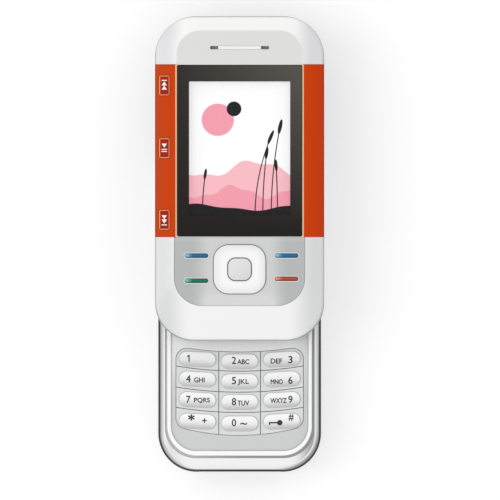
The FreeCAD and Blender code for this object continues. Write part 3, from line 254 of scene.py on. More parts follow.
# %% Pearl front shell
slide_centre, slide_half, slide_radius = (0.0, 18.8), (24.1, 46.2), 11.2
cap_centre, cap_half, cap_radius = (0.0, 50.9), (17.9, 10.0), 6.6


def front_shell_finish():
    """Painted shade and highlight by place: a grey outline and sides, a bright rim, a greyer flat cap, a
    bright chin and a cream highlight line beside the window.
    """
    finish = Finish("pearl_front_lacquer", 0.3, 0.0, 0.3)
    x, y, z = finish.place()
    across = abs(x)
    cap = rounded_distance(x, y, cap_centre, cap_half, cap_radius).step(-0.3, 0.3)
    # painted shade and highlight: the rim round the cap is bright at the top and grey at the sides, the
    # flat cap greyer, the chin bright with grey sides
    rim = finish.mix((across - 15.0).step(0.0, 6.0), paint(251, 251, 250), paint(222, 222, 224))
    head = finish.mix(cap, paint(225, 225, 223), rim)
    chin = finish.mix((across - 13.5).step(0.0, 8.0), paint(247, 247, 247), paint(219, 220, 220))
    tone = finish.mix(y.step(0.0, 3.0), chin, head)
    # painted highlight: a thin cream line beside the window, along the bands' inner edges
    cream_edge_highlight = line_on(across, 17.8, 0.32) * y.step(2.4, 2.5) * (1.0 - y.step(51.4, 51.5))
    tone = finish.mix(cream_edge_highlight, tone, paint(240, 190, 150))
    inside = -rounded_distance(x, y, slide_centre, slide_half, slide_radius)
    # painted shade: a grey line round the front half's outline
    tone = finish.mix(inside.step(0.1, 0.38), paint(158, 159, 161), tone)
    sparkle = finish.mottle(8.0, 1.0) * 0.04
    finish.to("Base Color", finish.mix(sparkle, tone, paint(150, 150, 152)))
    finish.to("Roughness", finish.mottle(1.0) * 0.1 + 0.25)
    return finish.relief(finish.mottle(2.0, 3.0), 0.002)


pearl_front = front_shell_finish()
print("front shell tones over", [2 * half for half in slide_half], "mm")

# %% [markdown]
# The side bands are a metallic orange-red, with painted shade that deepens it towards the
# outside and differs left and right. Under a magnifier, moulded metallic plastic shows
# streaks along the flow of the melt: a noise that is stretched along the band gives them.
# The cream rings of the media keys are painted highlights. They could be thin pieces, but
# drawn in the colour they follow the keys' own surface.

# %% Orange bands
media_key_x, media_key_half = -21.4, (1.5, 2.85)
media_key_y = {"previous_key": 65.0 - 19.75, "play_key": 65.0 - 37.6, "next_key": 65.0 - 58.0}


def band_finish(name, keys_at=()):
    """Orange with painted shade that deepens outwards and differs left and right, streaked along y, with a
    painted cream highlight at the inner edge and painted shade at the outer; a media key gets a painted
    cream highlight ring round dark red.
    """
    finish = Finish(name, 0.4, 0.3, 0.0, 0.08)
    x, y, z = finish.place()
    across = abs(x)
    # painted shade: the orange deepens outwards and is written differently for the left and right bands
    left = 1.0 - x.step(-2.0, 2.0)
    near = finish.mix(left, paint(212, 66, 4), paint(196, 62, 2))
    far = finish.mix(left, paint(204, 62, 12), paint(190, 66, 18))
    tone = finish.mix((across - 18.5).step(0.0, 5.0), near, far)
    where = finish.node("Mapping", finish.node("TexCoord", out=3), None, None, (1.0, 0.08, 1.0))
    streak = finish.node("TexNoise", where, None, 2600.0, 2.0, 0.5)
    tone = finish.mix(streak * 0.1, tone, paint(130, 36, 6))
    # painted highlight: a cream line along the band's inner edge; painted shade: a darker line along its
    # outer edge
    tone = finish.mix(1.0 - across.step(18.2, 18.34), tone, paint(246, 200, 160))
    tone = finish.mix(across.step(23.75, 23.95), tone, paint(150, 44, 12))
    for centre in keys_at:
        reach = (abs(x - media_key_x) - media_key_half[0]).most(abs(y - centre) - media_key_half[1])
        tone = finish.mix(reach.step(-0.42, -0.36), paint(150, 34, 26), tone)
        # painted highlight: a cream ring round each media key's dark red field
        ring = reach.step(-0.24, -0.18) * (1.0 - reach.step(-0.08, -0.02))
        tone = finish.mix(ring, tone, paint(244, 184, 128))
    finish.to("Base Color", tone)
    finish.to("Roughness", finish.mottle(1.5) * 0.1 + 0.38)
    return finish.relief(finish.mottle(3.0, 2.0), 0.002)


orange_band = band_finish("orange_band_gloss")
media_key_orange = band_finish("media_key_gloss", media_key_y.values())
print("media keys at", [round(y, 1) for y in media_key_y.values()])

# %% [markdown]
# The window is clear plastic with a black border printed on its back. Glass and print
# could be two pieces, but one material does both: alpha is low over the display and full
# on the border. A painted reflection runs over the border from a warm grey at the top
# right to near black at the foot.

# %% Window and display
display_half, display_low, display_high = 14.4, 8.3, 46.4


def window_finish():
    """Black print under a painted warm reflection towards the upper right, and nearly clear over the
    display.
    """
    finish = Finish("display_window_gloss", 0.08, 0.0, 0.0, 0.2)
    x, y, z = finish.place()
    middle, tall_half = (display_low + display_high) / 2, (display_high - display_low) / 2
    edge = (abs(x) - display_half).most(abs(y - middle) - tall_half)
    finish.to("Alpha", edge.step(-0.03, 0.03) * 0.96 + 0.04)
    # painted reflection: the border lightens to a warm grey towards the upper right
    light = ((y - 4.0) / 45.0).most(0.0) * (x / 42.0 + 0.62).most(0.0)
    tone = finish.mix(light.least(1.0), paint(22, 18, 14), paint(84, 79, 73))
    finish.to("Base Color", finish.mix(finish.mottle(0.3) * 0.08, tone, paint(20, 20, 20)))
    finish.to("Roughness", finish.mottle(0.8) * 0.05 + 0.06)
    return finish


window_gloss = window_finish()
print("clear over", 2 * display_half, "by", round(display_high - display_low, 1), "mm")

# %% [markdown]
# A display needs a picture. This one is made up for the lesson: a pale sky with a pink
# sun and a small dark moon, two bands of rolling pink hills, and a few dark reeds. Worked
# out in the material it needs no image file: hills are sums of sines, discs are distances,
# and a reed is the distance to a bent line.

# %% Display picture
def display_finish():
    """The picture, half as paint and half as a glow, under a faint grid of dots."""
    finish = Finish("display_picture", 0.2, specular=0.1)
    x, y, z = finish.place()
    white, ink = paint(255, 255, 255), paint(34, 34, 36)
    rose, blush = paint(246, 160, 176), paint(250, 190, 198)

    def disc(cx, cy, radius):
        """1 inside a circle."""
        away = ((x - cx) * (x - cx) + (y - cy) * (y - cy)).root()
        return 1.0 - (away - radius).step(-0.08, 0.08)

    def hills(level, tall, wide, shift):
        """1 below a line of two sines."""
        large = (x / wide + shift).wave() * tall
        line = large + (x / (wide * 0.37) + shift * 2.0).wave() * (tall * 0.3) + level
        return 1.0 - (y - line).step(-0.08, 0.08)

    def reed(foot, lean, top, head):
        """1 on a thin bent stalk and on the long oval head at its top."""
        rise = y - display_low
        bend = (x - foot) - rise * rise * lean
        stalk = (1.0 - (abs(bend) - 0.16).step(-0.08, 0.08)) * (1.0 - (y - top).step(-0.1, 0.1))
        oval = ((bend * bend) * 3.2 + (y - top) * (y - top) * 0.22).root()
        return stalk.most(1.0 - (oval - head).step(-0.08, 0.08))

    tone = finish.mix(disc(-6.2, 35.5, 4.6), white, rose)
    tone = finish.mix(disc(-1.6, 38.6, 2.1), tone, ink)
    tone = finish.mix(hills(21.5, 2.2, 4.4, 0.6), tone, blush)
    tone = finish.mix(hills(15.0, 1.6, 3.1, 2.2), tone, rose)
    reeds = ((4.4, 0.009, 30.5, 0.95), (6.6, 0.0035, 26.0, 0.85), (9.0, 0.004, 33.5, 1.0),
             (10.8, -0.002, 22.5, 0.8), (-10.6, 0.006, 20.0, 0.75))
    for foot, lean, top, head in reeds:
        tone = finish.mix(reed(foot, lean, top, head), tone, ink)
    tone = finish.mix(hills(10.6, 0.8, 5.2, 4.0), tone, ink)
    dot_pitch = 0.24
    where = finish.node("TexCoord", out=3)
    dots = finish.node("TexChecker", where, None, None, 1.0 / (dot_pitch * MM), out=1)
    tone = finish.mix(dots * 0.035, tone, ink)
    finish.to("Base Color", finish.mix(0.5, (0.0, 0.0, 0.0, 1.0), tone))
    finish.to("Emission Color", tone)
    finish.shader.inputs["Emission Strength"].default_value = 0.65
    return finish


display_picture = display_finish()
print("picture", 2 * display_half, "by", round(display_high - display_low, 1), "mm")

# %% [markdown]
# The navigation field is a silver plate with a painted sheen, a soft bright streak down its
# middle. The short keys in it have thin rims that catch the light, drawn as painted
# highlights. Those could be modelled, but they are thinner than a hair, so the distance
# formula draws them as lines.

# %% Navigation panel
ring_centre, ring_half, ring_radius = (0.0, -7.1), (7.45, 7.0), 4.4
centre_half, centre_radius = (3.3, 3.15), 2.1
bar_half, bar_radius = (3.25, 0.525), 0.45
bar_places = {"soft_key_left": (-12.3, -3.2), "soft_key_right": (13.35, -3.2),
              "call_key": (-12.3, -10.35), "end_key": (13.35, -9.8)}


def panel_finish():
    """Silver with a painted sheen, brighter in the middle, at the foot and near the top, and painted
    highlight rims round the bar keys.
    """
    finish = Finish("nav_panel_silver", 0.34, 0.1, 0.2)
    x, y, z = finish.place()
    # painted sheen: brighter down the middle, towards the foot and near the top
    middle = 1.0 - (abs(x) - 8.0).step(0.0, 6.0)
    foot = 1.0 - (y + 17.0).step(0.0, 5.0)
    shine = (middle * (foot * 0.4 + 0.75)).least(1.0)
    tone = finish.mix(shine, paint(184, 187, 186), paint(220, 220, 220))
    tone = finish.mix((y - 0.2).step(0.0, 2.4) * 0.35, tone, paint(216, 216, 216))
    # painted highlight: a bright line round each bar key
    for place in bar_places.values():
        rim = rounded_distance(x, y, place, bar_half, bar_radius)
        tone = finish.mix(line_on(rim, 0.24, 0.1, 0.1), tone, paint(240, 244, 246))
    finish.to("Base Color", finish.mix(finish.mottle(8.0, 1.0) * 0.06, tone, paint(120, 120, 122)))
    finish.to("Roughness", finish.mottle(1.2) * 0.1 + 0.29)
    return finish.relief(finish.mottle(4.0, 2.0), 0.002)


nav_panel_silver = panel_finish()
print("panel with", len(bar_places), "bright rims")

# %% [markdown]
# In the panel sits a white ring with a grey key in its middle. Two rounded rectangles with
# one centre give both of its borders, and a grey line of painted shade at each stands for the gap.

# %% Ring and centre key
def ring_finish():
    """White with a painted faint shadow towards its two outlines and a grey line of painted shade at each.
    """
    finish = Finish("nav_ring_white", 0.25, 0.0, 0.3)
    x, y, z = finish.place()
    outer = rounded_distance(x, y, ring_centre, ring_half, ring_radius)
    inner = rounded_distance(x, y, ring_centre, centre_half, centre_radius)
    tone = finish.mix((outer + 3.0).step(0.0, 3.2), paint(252, 252, 252), paint(236, 236, 237))
    tone = finish.mix(1.0 - inner.step(0.1, 1.2), tone, paint(244, 244, 244))
    # painted shade: grey lines at both outlines for the dark gaps
    tone = finish.mix(line_on(outer, -0.02, 0.1), tone, paint(168, 168, 169))
    tone = finish.mix(line_on(inner, 0.18, 0.1), tone, paint(172, 172, 173))
    finish.to("Base Color", finish.mix(finish.mottle(6.0, 1.0) * 0.04, tone, paint(160, 160, 160)))
    finish.to("Roughness", finish.mottle(1.2) * 0.1 + 0.2)
    return finish


def centre_key_finish():
    """Pale grey, with painted light that makes it a little lighter towards the upper left."""
    finish = Finish("centre_key_grey", 0.3, 0.05, 0.2)
    x, y, z = finish.place()
    # painted light from the upper left
    light = ((y - ring_centre[1]) - x) / 9.0 + 0.5
    tone = finish.mix(light.step(0.0, 1.0), paint(222, 222, 222), paint(232, 232, 232))
    finish.to("Base Color", finish.mix(finish.mottle(6.0, 1.0) * 0.06, tone, paint(150, 150, 150)))
    finish.to("Roughness", finish.mottle(1.2) * 0.1 + 0.25)
    return finish


ring_white, centre_grey = ring_finish(), centre_key_finish()
print("ring", [2 * half for half in ring_half], "mm, key", [2 * half for half in centre_half], "mm")

# %% [markdown]
# The four short keys are clear coloured plastic. A painted highlight makes each pale at its
# left end, and painted shade darkens its lower edge. Real glass shaders would do it too, but
# at this size a glossy surface with a change of tone looks the same and renders faster.

# %% Short coloured keys
def bar_key_finish(name, place, deep, pale):
    """A clear coloured key: a painted highlight makes it pale at its left end, it is deep at its right, and
    painted shade darkens its lower edge.
    """
    finish = Finish(name, 0.18, 0.0, 0.15, 0.2)
    x, y, z = finish.place()
    # painted highlight: pale at the left end
    tone = finish.mix((x - (place[0] - 3.3)).step(0.2, 2.4), pale, deep)
    # painted shade: the lower edge darkens
    lower = 1.0 - (y - (place[1] - 0.42)).step(0.0, 0.3)
    dark = tuple(c * 0.45 for c in deep[:3]) + (1.0,)
    tone = finish.mix(lower * 0.6, tone, dark)
    finish.to("Base Color", finish.mix(finish.mottle(5.0, 1.0) * 0.08, tone, dark))
    finish.to("Roughness", finish.mottle(2.0) * 0.08 + 0.14)
    return finish


# the second colour of each pair is the painted highlight at the key's left end
blue, highlight_blue = (30, 104, 150), (130, 200, 235)
bar_colours = {"soft_key_left": (blue, highlight_blue), "soft_key_right": (blue, highlight_blue),
               "call_key": ((14, 116, 84), (120, 205, 170)), "end_key": ((182, 72, 42), (236, 150, 128))}
bar_finishes = {name: bar_key_finish(name + "_clear", bar_places[name], paint(*deep), paint(*pale))
                for name, (deep, pale) in bar_colours.items()}
print(len(bar_finishes), "coloured keys")

# %% [markdown]
# The keys stand in rows that sag a little in the middle, as on a circle, and the outer
# ones are turned to follow it. Their places are worked out with the same numbers as the
# solids', instead of being read off the meshes.

# %% Places of the keys
key_grid = (("key_1", "key_2", "key_3"), ("key_4", "key_5", "key_6"),
            ("key_7", "key_8", "key_9"), ("key_star", "key_0", "key_hash"))
row_lines = (34.2, 28.8, 22.8, 17.0, 10.55)
row_radius, pillow_rise, pillow_tilt = 112.0, 0.1, 3.0
base_low_y = -65.0
base_width, keypad_inset = 46.5, 5.15
keypad_half = base_width / 2 - keypad_inset
column_line = keypad_half * 0.329
pillow_half = (column_line - 0.75, 4.25 / 2)
pillow_x = (keypad_half + column_line) / 2


def key_place(row, column):
    """Centre and tilt of one pillow: on a circle of row_radius that sags in the middle of the row."""
    x = (column - 1) * pillow_x
    middle = (row_lines[row] + row_lines[row + 1]) / 2 + pillow_rise
    y = base_low_y + middle + row_radius - math.sqrt(row_radius ** 2 - x * x)
    return x, y, math.radians(pillow_tilt * (column - 1))


key_places = {key_grid[r][c]: key_place(r, c) for r in range(4) for c in range(3)}
print("pillows", [tuple(round(v, 1) for v in key_places[k][:2]) for k in ("key_1", "key_5", "key_hash")])

# %% [markdown]
# The keypad plate and its keys are one silver sheet cut by thin lines. Each key carries an
# oval pillow with a painted highlight at its top that falls off into painted shade towards
# its foot. The pillow's shape is in the solid; its outline of painted shade and its painted
# highlight are drawn with the rounded distance, turned by the key's small tilt, because a
# plain light alone leaves them too faint.

# %% Keypad finishes
def key_finish(name, place):
    """Silver around a pillow with a painted highlight at its top, painted shade at its lower edge and a
    soft outline of painted shade.
    """
    cx, cy, tilt = place
    finish = Finish(name, 0.3, 0.05, 0.2)
    x, y, z = finish.place()
    across = (x - cx) * math.cos(tilt) + (y - cy) * math.sin(tilt)
    up = (y - cy) * math.cos(tilt) - (x - cx) * math.sin(tilt)
    oval = rounded_distance(across, up, (0.0, 0.0), pillow_half, pillow_half[1] - 0.05)
    # painted highlight at the pillow's top and painted shade at its foot
    body = finish.mix(up.step(-2.2, 0.4), paint(196, 196, 197), paint(246, 246, 246))
    body = finish.mix(up.step(0.3, 1.2), body, paint(255, 255, 255))
    tone = finish.mix(oval.step(-0.2, 0.05), body, paint(224, 225, 225))
    # painted shade: a soft grey outline round the pillow
    tone = finish.mix(line_on(oval, 0.02, 0.08, 0.12) * 0.5, tone, paint(150, 151, 153))
    finish.to("Base Color", finish.mix(finish.mottle(7.0, 1.0) * 0.04, tone, paint(150, 150, 152)))
    finish.to("Roughness", finish.mottle(1.2) * 0.06 + 0.26)
    return finish


def keypad_plate_finish():
    """Silver with painted light that brightens it near the front half's edge, against the shade there, so
    it darkens towards the phone's free end, and with painted shade towards the right.
    """
    finish = Finish("keypad_plate_silver", 0.34, 0.1, 0.15)
    x, y, z = finish.place()
    # painted light near the front half's edge and painted shade towards the right
    tone = finish.mix((y + 46.0).step(0.0, 18.0), paint(211, 212, 212), paint(244, 244, 244))
    tone = finish.mix((x - 14.0).step(0.0, 5.0) * 0.5, tone, paint(200, 201, 202))
    finish.to("Base Color", finish.mix(finish.mottle(8.0, 1.0) * 0.07, tone, paint(130, 130, 132)))
    finish.to("Roughness", finish.mottle(1.2) * 0.1 + 0.29)
    return finish.relief(finish.mottle(4.0, 2.0), 0.003)


key_finishes = {name: key_finish(name + "_silver", place) for name, place in key_places.items()}
keypad_plate_silver = keypad_plate_finish()
print(len(key_finishes), "key finishes and one for the plate")

# %% [markdown]
# From above the base's rim shows as stripes: a dark line where the rear shell ends, a
# light shoulder and a grey groove next to the white lip. On the real one these are mirror
# images of a dark and a light wall. A material that mirrored them would need such walls,
# so the distance from the outline picks painted reflections and painted shade instead,
# darker at the two lower corners.

# %% Base rim
base_centre = (0.0, base_low_y + 46.2)
base_half, base_radius = (23.25, 46.2), 11.0


def rim_finish():
    """Painted reflections and shade from the distance to the base's outline: dark edge, light shoulder,
    grey groove.
    """
    finish = Finish("base_rim_silver", 0.28, 0.1, 0.2)
    x, y, z = finish.place()
    inside = -rounded_distance(x, y, base_centre, base_half, base_radius)
    flank = (abs(x) - 14.0).step(0.0, 7.0)
    right = x.step(12.0, 20.0)
    # painted shade at the two lower corners
    corner = (x - y).step(74.0, 80.0).most((0.0 - x - y).step(76.0, 84.0) * 0.5)
    outer_flank = finish.mix(right, paint(190, 191, 192), paint(206, 207, 208))
    inner_flank = finish.mix(right, paint(228, 228, 228), paint(252, 252, 252))
    outer = finish.mix(flank, paint(250, 250, 250), outer_flank)
    outer = finish.mix(corner, outer, paint(150, 151, 153))
    inner = finish.mix(flank, paint(248, 248, 248), inner_flank)
    tone = finish.mix(inside.step(0.9, 1.8), outer, inner)
    # painted shade: a grey groove line on the right flank, and a dark line at the outer edge
    tone = finish.mix(inside.step(1.72, 1.95) * right * flank, tone, paint(168, 168, 170))
    tone = finish.mix(inside.step(0.62, 0.98), paint(104, 105, 107), tone)
    finish.to("Base Color", finish.mix(finish.mottle(8.0, 1.0) * 0.05, tone, paint(110, 110, 112)))
    finish.to("Roughness", finish.mottle(1.2) * 0.06 + 0.26)
    return finish.relief(finish.mottle(2.5, 2.0), 0.001)


base_rim = rim_finish()
print("base outline", [2 * half for half in base_half], "mm")

# %% [markdown]
# Two more finishes belong to the base. Painted shade darkens the rear shell's ledge under
# the frame, and the lip is white over a groove greyed by painted shade, darker towards the
# right. Both are one solid each on the real phone too, so the height in the shape tells the
# parts of each apart.

# %% Rear shell and lip
def rear_finish():
    """Silver, with painted shade that darkens the ledge under the front frame."""
    finish = Finish("rear_shell_silver", 0.32, 0.15, 0.2)
    x, y, z = finish.place()
    # painted shade: the ledge below the front frame is dark
    tone = finish.mix(z.step(6.6, 6.95), paint(222, 223, 225), paint(58, 59, 61))
    finish.to("Base Color", finish.mix(finish.mottle(9.0, 1.0) * 0.06, tone, paint(120, 120, 124)))
    finish.to("Roughness", finish.mottle(1.2) * 0.12 + 0.26)
    return finish.relief(finish.mottle(2.5, 3.0), 0.003)


def lip_finish():
    """White on the lip, with painted shade greying the low skirt that floors the groove round it, darker
    towards the right.
    """
    finish = Finish("keypad_lip_white", 0.3, 0.0, 0.2)
    x, y, z = finish.place()
    # painted shade in the groove, darker towards the right
    groove = finish.mix((x + 24.0).step(0.0, 30.0), paint(198, 198, 198), paint(156, 156, 157))
    tone = finish.mix(z.step(11.62, 11.8), groove, paint(254, 254, 253))
    finish.to("Base Color", finish.mix(finish.mottle(7.0, 1.0) * 0.03, tone, paint(150, 150, 152)))
    finish.to("Roughness", finish.mottle(1.2) * 0.08 + 0.26)
    return finish.relief(finish.mottle(3.0, 2.0), 0.002)


rear_silver, lip_white = rear_finish(), lip_finish()
print("rear shell and lip ready")

# %% [markdown]
# What is inside or underneath gets a finish too, since the phone is seen from every side
# and opens. The runner, the plate and the springs are brushed steel: a noise drawn out
# along the length looks like the fine scratches that a rolling mill leaves.

# %% Brushed steel
def brushed_steel(name, tone, stretch=(1.0, 0.04, 1.0)):
    """Noise drawn out along one direction, in colour, roughness and bump."""
    finish = Finish(name, 0.35, 0.9)
    where = finish.node("Mapping", finish.node("TexCoord", out=3), None, None, stretch)
    grain = finish.node("TexNoise", where, None, 9000.0, 3.0, 0.6)
    dark = tuple(c * 0.72 for c in tone[:3]) + (1.0,)
    finish.to("Base Color", finish.mix(grain, dark, tone))
    finish.to("Roughness", grain * 0.2 + 0.26)
    return finish.relief(grain, 0.004)


steel = brushed_steel("runner_steel", paint(190, 191, 194))
screw_steel = brushed_steel("screw_steel", paint(150, 151, 154), (1.0, 1.0, 1.0))
print("two steels")

# %% [markdown]
# Most small parts are moulded plastic, rubber or film. A mould's walls are eroded by
# sparks, which leaves an even fine grain. One function with a coarser or a finer grain
# serves for all of them, where a separate material for each would differ in little else.

# %% Mouldings and films
def moulded(name, tone, rough=0.55, grain=3.5, depth=0.012):
    """Spark-eroded plastic: a fine even grain in bump and roughness and a slow change of tone."""
    finish = Finish(name, rough)
    slow = finish.mottle(0.25)
    light = tuple(min(1.0, c * 1.25 + 0.004) for c in tone[:3]) + (1.0,)
    finish.to("Base Color", finish.mix(slow, tone, light))
    finish.to("Roughness", finish.mottle(1.0) * 0.16 + (rough - 0.08))
    return finish.relief(finish.mottle(grain, 3.0, 0.6), depth)


black_moulding = moulded("black_moulding", paint(34, 34, 36))
rubber = moulded("key_rubber_grey", paint(196, 197, 200), 0.7)
earpiece_grey = moulded("earpiece_mesh_grey", paint(158, 158, 158), 0.5, 8.0, 0.01)
natural_plastic = moulded("glide_plastic_natural", paint(222, 220, 210), 0.4)
battery_film = moulded("battery_film", paint(54, 58, 64), 0.4, 1.5, 0.006)
amber_film = moulded("flat_cable_film", paint(168, 104, 40), 0.3, 2.0, 0.004)
bright_trim = lacquer("earpiece_bar_white", paint(250, 250, 250), rough=0.15)
print("mouldings, rubber and films ready")

# %% [markdown]
# The boards are green with paler copper tracks under the mask, and the camera's window is
# dark glass that is clear over the lens. Tracks could be modelled, but they are flat, so
# two sets of crossing lines broken up by noise are enough.

# %% Boards and camera window
lens_place, lens_radius = (10.0, 12.0), 2.2


def board_finish():
    """Green solder mask with paler tracks: two crossing sets of thin lines, broken up by noise."""
    finish = Finish("solder_mask_green", 0.35, 0.0, 0.2)
    x, y, z = finish.place()
    lines = line_on((x * 5.2).wave(), 1.0, 0.12, 0.06).most(line_on((y * 4.1).wave(), 1.0, 0.10, 0.06))
    broken = lines * (finish.mottle(0.35) - 0.5).step(0.0, 0.06)
    tone = finish.mix(broken, paint(18, 84, 52), paint(62, 138, 92))
    finish.to("Base Color", tone)
    finish.to("Roughness", finish.mottle(1.5) * 0.1 + 0.3)
    return finish.relief(broken, 0.02)


def lens_window_finish():
    """Dark glass with a clear middle over the lens."""
    finish = Finish("camera_window_glass", 0.06, 0.0, 0.0, 0.5)
    x, y, z = finish.place()
    from_lens_x, from_lens_y = x - lens_place[0], y - lens_place[1]
    away = (from_lens_x * from_lens_x + from_lens_y * from_lens_y).root()
    finish.to("Alpha", 1.0 - 0.85 * (1.0 - (away - lens_radius).step(-0.05, 0.05)))
    finish.to("Base Color", finish.mix(finish.mottle(0.8) * 0.2, paint(28, 28, 30), paint(52, 52, 56)))
    finish.to("Roughness", finish.mottle(1.0) * 0.04 + 0.05)
    return finish


green_board, lens_window = board_finish(), lens_window_finish()
print("boards and camera window ready")

# %% [markdown]
# Every solid gets its finish by name. Blender could keep several slots on one object, but
# each solid here is one moulding or one sheet, so one material on each is enough.

# %% Give each solid its finish
finish_of = {
    "base_rear_housing": rear_silver, "base_front_frame": base_rim, "keypad_bezel": lip_white,
    "keypad_plate": keypad_plate_silver, "keypad_mat": rubber, "main_board": green_board,
    "battery": battery_film, "battery_cover": silver_shell, "sim_holder": steel,
    "system_connector": black_moulding, "audio_jack": black_moulding, "camera_module": black_moulding,
    "camera_window": lens_window, "loudspeaker": black_moulding, "vibration_motor": steel,
    "antenna": black_moulding, "volume_rocker": silver_button, "camera_key": silver_button,
    "power_key": silver_button, "base_screws": screw_steel, "runner": steel,
    "glide_strips": natural_plastic, "slide_flex": amber_film, "assist_spring": steel,
    "slide_front_cover": pearl_front, "side_band_left": orange_band, "side_band_right": orange_band,
    "earpiece_bar": bright_trim, "earpiece_speaker": earpiece_grey, "screen_window": window_gloss,
    "display_frame": black_moulding, "display_module": display_picture,
    "nav_panel": nav_panel_silver, "nav_ring": ring_white, "nav_ring_carrier": steel,
    "nav_centre_key": centre_grey, "nav_mat": rubber, "slide_board": green_board,
    "slide_back_cover": dark_silver, "slide_plate": steel, "slide_screws": screw_steel,
    "previous_key": media_key_orange, "play_key": media_key_orange, "next_key": media_key_orange,
    **bar_finishes, **key_finishes,
}
for name, solid in nodes.items():
    solid.data.materials.clear()
    solid.data.materials.append(finish_of[name].material)
print(len(finish_of), "solids have a finish;", "missing:", [n for n in nodes if n not in finish_of])

# %% [markdown]
# Legends are printed on the pillows, so they are thin pieces that follow the pillow's
# crown. They could be drawn in the material, but letters are hard to write as distances.
# The built-in font gives them flat, and each word is fitted to the size that it needs.

# %% Letters
ink = moulded("legend_ink", paint(30, 30, 32), 0.5, 6.0, 0.002)


def letters(text):
    """The points and faces of a word from the built-in font."""
    curve = bpy.data.curves.new("word", "FONT")
    curve.body = text
    curve.resolution_u = 6
    holder = bpy.data.objects.new("word", curve)
    bpy.context.scene.collection.objects.link(holder)
    flat = bpy.data.meshes.new_from_object(holder.evaluated_get(bpy.context.evaluated_depsgraph_get()))
    bpy.data.objects.remove(holder)
    bpy.data.curves.remove(curve)
    return flat


def fitted(mesh, centre, width, height):
    """Moves and stretches a flat mesh so that its box has that centre, width and height."""
    points = np.empty(len(mesh.vertices) * 3)
    mesh.vertices.foreach_get("co", points)
    points = points.reshape(-1, 3)
    low, high = points[:, :2].min(0), points[:, :2].max(0)
    points[:, :2] = (points[:, :2] - (low + high) / 2) / (high - low) * (width, height) + centre
    points[:, 2] = 0
    mesh.vertices.foreach_set("co", points.ravel())
    return mesh


print("fonts at hand:", [font.name for font in bpy.data.fonts] or "the built-in one")

# %% [markdown]
# A flat letter has large faces that can't bend, so it is cut into narrow bands. Its
# strokes are also thinner than the print. The font's own outline offset folds some letters
# over themselves, so the weight comes from copies that are shifted by half a tenth.

# %% Bands and weight
band_gap = 0.25
bold_shift, bold_step = 0.05, 0.002


def sliced(mesh, gap=band_gap):
    """Cuts a flat mesh into bands gap wide so that it can bend."""
    work = bmesh.new()
    work.from_mesh(mesh)
    bmesh.ops.remove_doubles(work, verts=work.verts, dist=1e-4)
    bmesh.ops.triangulate(work, faces=work.faces)
    ys = [v.co.y for v in work.verts]
    for y in np.arange(min(ys) + gap, max(ys), gap):
        bmesh.ops.bisect_plane(work, geom=work.verts[:] + work.edges[:] + work.faces[:],
                               plane_co=(0, y, 0), plane_no=(0, 1, 0))
    bmesh.ops.recalc_face_normals(work, faces=work.faces)
    if work.faces and sum(f.normal.z for f in work.faces) < 0:
        bmesh.ops.reverse_faces(work, faces=work.faces)
    work.to_mesh(mesh)
    work.free()
    return mesh


def bolder(mesh, shift):
    """The word shifted left, right, down, up and not at all, each copy a hair over the last."""
    moves = ((-shift, 0.0), (shift, 0.0), (0.0, -shift), (0.0, shift), (0.0, 0.0))
    copies = []
    for step, move in enumerate(moves):
        copy = mesh.copy()
        points = np.empty(len(copy.vertices) * 3)
        copy.vertices.foreach_get("co", points)
        points = points.reshape(-1, 3) + (move[0], move[1], step * bold_step)
        copy.vertices.foreach_set("co", points.ravel())
        copies.append(copy)
    return copies


print("bands", band_gap, "mm, copies", bold_shift, "mm to each side")

# %% [markdown]
# Now the print goes onto the key. The crown of a pillow is part of a cylinder, so its
# height is that of a circle over the distance from the pillow's long axis. Projecting with
# a Shrinkwrap modifier would do the same, but the formula is exact and needs no target.

# %% Onto the crown
cap_top, pillow_height, crown_radius, print_lift = 11.55, 0.5, 8.0, 0.015


def settle(mesh, height_at):
    """Lifts every point to height_at(x, y) and turns millimetres into metres."""
    points = np.empty(len(mesh.vertices) * 3)
    mesh.vertices.foreach_get("co", points)
    points = points.reshape(-1, 3)
    points[:, 2] += height_at(points[:, 0], points[:, 1])
    mesh.vertices.foreach_set("co", (points * MM).ravel())
    mesh.update()
    return mesh


def joined(name, meshes, finish, body):
    """One object from several meshes, with its finish, riding on a body."""
    work = bmesh.new()
    for mesh in meshes:
        work.from_mesh(mesh)
    whole = bpy.data.meshes.new(name)
    work.to_mesh(whole)
    work.free()
    whole.materials.append(finish.material)
    piece = bpy.data.objects.new(name, whole)
    bpy.context.scene.collection.objects.link(piece)
    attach(piece, body)
    return piece


def crown_height(name):
    """Height of a pillow's crown: a circle of crown_radius about the pillow's long, tilted axis."""
    cx, cy, tilt = key_places[name]

    def height(x, y):
        up = (y - cy) * math.cos(tilt) - (x - cx) * math.sin(tilt)
        return cap_top + pillow_height + print_lift - crown_radius + np.sqrt(crown_radius ** 2 - up ** 2)
    return height


print("highest print", round(cap_top + pillow_height + print_lift, 2), "mm up")

# %% [markdown]
# The words are the usual ones of a number pad. Each has its middle, width and height in
# millimetres. The lock symbol and the bare 1 aren't in the font, so they are drawn as a
# few flat polygons.

